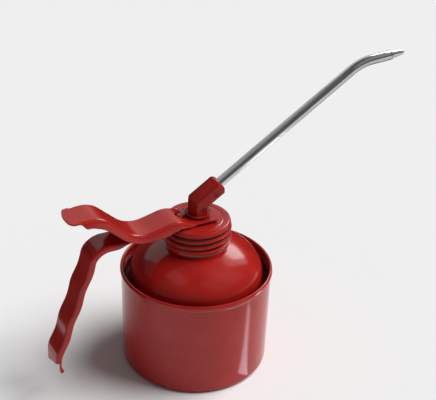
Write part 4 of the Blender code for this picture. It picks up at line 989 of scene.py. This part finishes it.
def surface_group():
    """Shared surface: fine and slow noise as a height, a slow tone, an uneven gloss and specks."""
    inputs = (("Fine Scale", 900.0), ("Slow Scale", 30.0), ("Fine Share", 0.5), ("Speck Scale", 700.0))
    tree, inlet, outlet = new_group("surface detail", inputs, ("Height", "Tone", "Gloss", "Specks"))
    stretch = tree.interface.new_socket("Stretch", in_out="INPUT", socket_type="NodeSocketVector")
    stretch.default_value = (1.0, 1.0, 1.0)
    place = tree.nodes.new("ShaderNodeTexCoord")
    scale = tree.nodes.new("ShaderNodeVectorMath")
    scale.operation = "MULTIPLY"
    tree.links.new(place.outputs["Object"], scale.inputs[0])
    tree.links.new(inlet.outputs["Stretch"], scale.inputs[1])
    fine = noise_of(tree, scale.outputs[0], inlet.outputs["Fine Scale"], 2.0)
    slow = noise_of(tree, scale.outputs[0], inlet.outputs["Slow Scale"], 3.0)
    speck = noise_of(tree, place.outputs["Object"], inlet.outputs["Speck Scale"], 1.0)
    mix = tree.nodes.new("ShaderNodeMix")
    tree.links.new(inlet.outputs["Fine Share"], mix.inputs[0])
    tree.links.new(slow, mix.inputs[2])
    tree.links.new(fine, mix.inputs[3])
    tree.links.new(mix.outputs[0], outlet.inputs["Height"])
    tree.links.new(slow, outlet.inputs["Tone"])
    tree.links.new(fine, outlet.inputs["Gloss"])
    tree.links.new(ranged(tree, speck, 0.0, 1.0, 0.70, 0.78), outlet.inputs["Specks"])
    return tree


def painted_shade_group():
    """Shared mask of painted shade, which darkens recesses below a height and between two distances from
    the axis.
    """
    inputs = (("Full Radius", 0.0), ("Clear Radius", 0.1), ("Full Height", 0.0), ("Clear Height", 0.1))
    tree, inlet, outlet = new_group("painted recess shade", inputs, ("Shade Mask",))
    place = tree.nodes.new("ShaderNodeTexCoord")
    parts = tree.nodes.new("ShaderNodeSeparateXYZ")
    tree.links.new(place.outputs["Object"], parts.inputs[0])
    flat = tree.nodes.new("ShaderNodeVectorMath")
    flat.operation = "MULTIPLY"
    flat.inputs[1].default_value = (1.0, 1.0, 0.0)
    tree.links.new(place.outputs["Object"], flat.inputs[0])
    radius = tree.nodes.new("ShaderNodeVectorMath")
    radius.operation = "LENGTH"
    tree.links.new(flat.outputs[0], radius.inputs[0])
    shares = []
    for value, label in ((radius.outputs["Value"], "Radius"), (parts.outputs["Z"], "Height")):
        share = ranged(tree, value, 1.0, 0.0, shape="SMOOTHSTEP")
        tree.links.new(inlet.outputs["Full " + label], share.node.inputs["From Min"])
        tree.links.new(inlet.outputs["Clear " + label], share.node.inputs["From Max"])
        shares.append(share)
    tree.links.new(calculated(tree, "MULTIPLY", *shares), outlet.inputs["Shade Mask"])
    return tree


def blended(tree, first, second, factor):
    """A colour between two colours, each given as a socket or as plain numbers."""
    mix = tree.nodes.new("ShaderNodeMix")
    mix.data_type = "RGBA"
    for label, color in (("A", first), ("B", second)):
        if isinstance(color, tuple):
            mix.inputs[label].default_value = (*color, 1.0)
        else:
            tree.links.new(color, mix.inputs[label])
    tree.links.new(factor, mix.inputs["Factor"])
    return mix.outputs["Result"]


def finish_of(name, light, deep, rough, bump, scales, metallic=0.0, stretch=(1.0, 1.0, 1.0), gloss=0.5,
              painted_shade=None, specks=0.0):
    """A material whose colour runs from deep to light, with fine relief and uneven gloss."""
    finish, tree, shader = shader_nodes(name)
    detail = tree.nodes.new("ShaderNodeGroup")
    detail.node_tree = SURFACE
    for label, value in zip(("Fine Scale", "Slow Scale", "Fine Share"), scales):
        detail.inputs[label].default_value = value
    detail.inputs["Stretch"].default_value = stretch
    color = blended(tree, deep, light, ranged(tree, detail.outputs["Tone"], 0.0, 1.0))
    gloss_of = ranged(tree, detail.outputs["Gloss"], *rough)
    if specks:
        pale = tuple(min(1.0, part * 1.6 + 0.10) for part in light)
        color = blended(tree, color, pale, ranged(tree, detail.outputs["Specks"], 0.0, specks, 0.0, 1.0))
    # Painted shade: the mask blends recesses towards a near-black red, and also roughens their gloss
    # there.
    if painted_shade:
        shade_node = tree.nodes.new("ShaderNodeGroup")
        shade_node.node_tree = SHADE_GROUP
        for label, value in zip(("Full Radius", "Clear Radius", "Full Height", "Clear Height"), painted_shade):
            shade_node.inputs[label].default_value = value
        dark = tuple(part * 0.10 for part in deep)
        color = blended(tree, color, dark, ranged(tree, shade_node.outputs["Shade Mask"], 0.0, 0.92, 0.0, 1.0))
        dull = ranged(tree, shade_node.outputs["Shade Mask"], 0.0, 0.55, 0.0, 1.0)
        gloss_of = calculated(tree, "ADD", gloss_of, dull)
    tree.links.new(color, shader.inputs["Base Color"])
    tree.links.new(gloss_of, shader.inputs["Roughness"])
    relief = tree.nodes.new("ShaderNodeBump")
    relief.inputs["Distance"].default_value = bump
    tree.links.new(detail.outputs["Height"], relief.inputs["Height"])
    tree.links.new(relief.outputs["Normal"], shader.inputs["Normal"])
    shader.inputs["Metallic"].default_value = metallic
    shader.inputs["Specular IOR Level"].default_value = gloss
    return finish


SURFACE = surface_group()
SHADE_GROUP = painted_shade_group()


def dress(piece, finish, body, slot, *nodes):
    piece.data.materials.clear()
    piece.data.materials.append(finish)
    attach(piece, body)
    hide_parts(*nodes)


def repaint(node, finish):
    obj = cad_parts[node]
    obj.data.materials.clear()
    obj.data.materials.append(finish)


def stand(name, data, place, turned):
    """Sets up a lamp or the camera at a place, turned as given."""
    item = bpy.data.objects.new(name, data)
    bpy.context.scene.collection.objects.link(item)
    item.location = place
    item.rotation_mode = "QUATERNION"
    item.rotation_quaternion = turned
    return item


def facing(place, target):
    return (Vector(target) - Vector(place)).to_track_quat("-Z", "Y")


def photo_camera():
    data = bpy.data.cameras.new("photo_camera")
    data.sensor_width = SENSOR
    data.lens = CAMERA_FOCUS / IMAGE_WIDTH * SENSOR
    right = Vector((math.cos(CAMERA_AZIMUTH), math.sin(CAMERA_AZIMUTH), 0.0))
    flat = Vector((-math.sin(CAMERA_AZIMUTH), math.cos(CAMERA_AZIMUTH), 0.0))
    forward = flat * math.cos(CAMERA_ELEVATION) - Vector((0.0, 0.0, math.sin(CAMERA_ELEVATION)))
    aim = right * AIM_RIGHT + Vector((0.0, 0.0, AIM_HEIGHT))
    turned = Matrix((right, right.cross(forward), -forward)).transposed().to_quaternion()
    turned = turned @ Matrix.Rotation(CAMERA_ROLL, 3, "Z").to_quaternion()
    bpy.context.scene.camera = stand("photo_camera", data, aim - forward * CAMERA_DISTANCE, turned)


def card(name, place, target, size, power, color=(1.0, 1.0, 1.0)):
    """A lit rectangular card that faces its target and is seen only in reflections."""
    light = bpy.data.lights.new(name, "AREA")
    light.shape = "RECTANGLE"
    light.size, light.size_y = size
    light.energy = power
    light.color = color
    lamp = stand(name, light, place, facing(place, target))
    lamp.visible_camera = False
    lamp.visible_diffuse = False
    return lamp


def around(azimuth, elevation, distance):
    """A place in the studio, seen from the middle of the can at angles in degrees."""
    flat = distance * math.cos(math.radians(elevation))
    return (flat * math.cos(math.radians(azimuth)), flat * math.sin(math.radians(azimuth)),
            STUDIO_AIM[2] + distance * math.sin(math.radians(elevation)))


def plain_finish(name, grey, rough, gloss):
    """A material of one even grey, for what stands in the studio."""
    finish, _, shader = shader_nodes(name)
    shader.inputs["Base Color"].default_value = (grey, grey, grey, 1.0)
    shader.inputs["Roughness"].default_value = rough
    shader.inputs["Specular IOR Level"].default_value = gloss
    return finish


def soft_sky():
    """The broad light that models the forms and throws the soft shadow."""
    sky = bpy.data.lights.new("soft_sky", "SUN")
    sky.energy = SKY_STRENGTH
    sky.angle = SKY_SPREAD
    place = around(*SKY_PLACE)
    lamp = stand("soft_sky", sky, place, facing(place, STUDIO_AIM))
    lamp.visible_glossy = False


def light_cards():
    for name, place, size, power in CARDS:
        card(name, around(*place), STUDIO_AIM, size, power)
    card("glint_card", (0.152, -0.084, 0.022), (0.008, -0.020, 0.095), (0.024, 0.040), 0.030)
    strip = card("strip_card", STRIP_PLACE, STRIP_PLACE[:2] + (1.0,), (0.080, 0.009), 0.008,
                 (0.90, 0.84, 1.0))
    strip.rotation_quaternion = Matrix.Rotation(STRIP_TURN, 3, "Z").to_quaternion() @ \
        Matrix.Rotation(math.pi, 3, "X").to_quaternion()


def paper_floor():
    bpy.ops.mesh.primitive_plane_add(size=8.0, location=(0.0, 0.0, -0.0002))
    floor = named("floor")
    floor.data.materials.append(plain_finish("pale_paper", 0.90, 0.85, 0.0))


def dark_surround():
    """Half a ring of dark felt behind the can, which only its reflections show."""
    bpy.ops.mesh.primitive_cylinder_add(vertices=64, radius=SURROUND_RADIUS, depth=SURROUND_HEIGHT,
                                        end_fill_type="NOTHING", location=SURROUND_PLACE)
    surround = named("dark_surround")
    edit(surround)
    bpy.ops.mesh.bisect(plane_co=(0.0, 0.0, 0.0), plane_no=(0.0, 1.0, 0.0), clear_inner=True)
    leave_edit()
    surround.data.materials.append(plain_finish("dark_felt", 0.02, 1.0, 0.5))
    surround.visible_camera = False
    surround.visible_diffuse = False
    surround.visible_shadow = False


def studio():
    soft_sky()
    light_cards()
    bpy.context.scene.view_settings.view_transform = "Standard"
    world = bpy.data.worlds.new("studio")
    bpy.context.scene.world = world
    world.use_nodes = True
    background = world.node_tree.nodes["Background"]
    background.inputs["Color"].default_value = (0.95, 0.95, 0.95, 1.0)
    background.inputs["Strength"].default_value = 0.14
    paper_floor()
    dark_surround()


def main():
    enamel = ((0.42, 0.015, 0.010), (0.35, 0.010, 0.008), (0.12, 0.19), 0.00003, (900.0, 70.0, 0.4))
    red = finish_of("red_enamel", *enamel, gloss=0.4, specks=0.15)
    # Painted shade in the gutter round the foot of the dome, inside the rim.
    gutter = (0.0465, 0.0415, 0.0585, 0.0640)
    gutter_red = finish_of("red_enamel_painted_shade_gutter", *enamel, gloss=0.4, painted_shade=gutter, specks=0.15)
    # Painted shade in the grooves of the cap's rolled thread, below its top.
    valley = CAP_MEAN_RADIUS - THREAD_DEPTH / 2
    grooves = (valley + 0.0002, valley + THREAD_DEPTH * 0.85, CAP_TOP - 0.0030, CAP_TOP - 0.0015)
    thread_red = finish_of("red_enamel_painted_shade_thread", *enamel, gloss=0.4, painted_shade=grooves, specks=0.2)
    cast_red = finish_of("red_cast_enamel", (0.33, 0.012, 0.009), (0.25, 0.008, 0.007), (0.22, 0.34),
                         0.00007, (1500.0, 300.0, 0.5), gloss=0.2, specks=0.5)
    steel = finish_of("drawn_steel", (0.66, 0.66, 0.68), (0.44, 0.44, 0.46), (0.12, 0.24), 0.00001,
                      (2600.0, 400.0, 0.6), metallic=1.0, stretch=(0.05, 1.0, 0.07))
    zinc = finish_of("zinc_plate", (0.52, 0.54, 0.57), (0.40, 0.42, 0.45), (0.28, 0.42), 0.00002,
                     (1800.0, 400.0, 0.5), metallic=1.0)
    brass = finish_of("turned_brass", (0.66, 0.48, 0.20), (0.52, 0.36, 0.14), (0.2, 0.34), 0.00002,
                      (1800.0, 300.0, 0.5), metallic=1.0, stretch=(1.0, 1.0, 6.0))
    rubber = finish_of("oil_rubber", (0.030, 0.030, 0.031), (0.016, 0.016, 0.017), (0.55, 0.75),
                       0.00004, (2200.0, 400.0, 0.5), specks=0.3)
    leather = finish_of("oiled_leather", (0.16, 0.08, 0.035), (0.08, 0.035, 0.015), (0.5, 0.75),
                        0.00008, (1800.0, 500.0, 0.5))
    dress(make_can(), red, "can", "red_enamel", "can_body")
    dress(make_shoulder(), gutter_red, "can", "red_enamel", "can_shoulder")
    dress(make_cap(), thread_red, "pump_head", "red_enamel", "screw_cap")
    dress(make_lever(), red, "lever_body", "red_enamel", "lever")
    dress(make_handle(), red, "pump_head", "red_enamel", "handle")
    dress(make_stud(), red, "pump_head", "red_enamel", "guide_stud")
    dress(make_elbow(), cast_red, "plunger", "red_zinc", "spout_elbow")
    spout, mouth = make_spout()
    dress(spout, steel, "plunger", "bright_steel", "spout_tube")
    dress(make_nozzle(mouth), steel, "plunger", "bright_steel", "spout_nozzle")
    for node in ("barrel_nut", "spring_seat", "return_spring", "delivery_spring"):
        repaint(node, zinc)
    for node in ("pump_barrel", "piston", "piston_nut", "barrel_foot", "ball_retainer", "suction_tube"):
        repaint(node, brass)
    for node in ("piston_rod", "foot_ball", "delivery_ball"):
        repaint(node, steel)
    for node in ("cap_gasket", "rod_seal"):
        repaint(node, rubber)
    for node in ("barrel_gasket", "piston_cup"):
        repaint(node, leather)
    photo_camera()
    studio()


main()
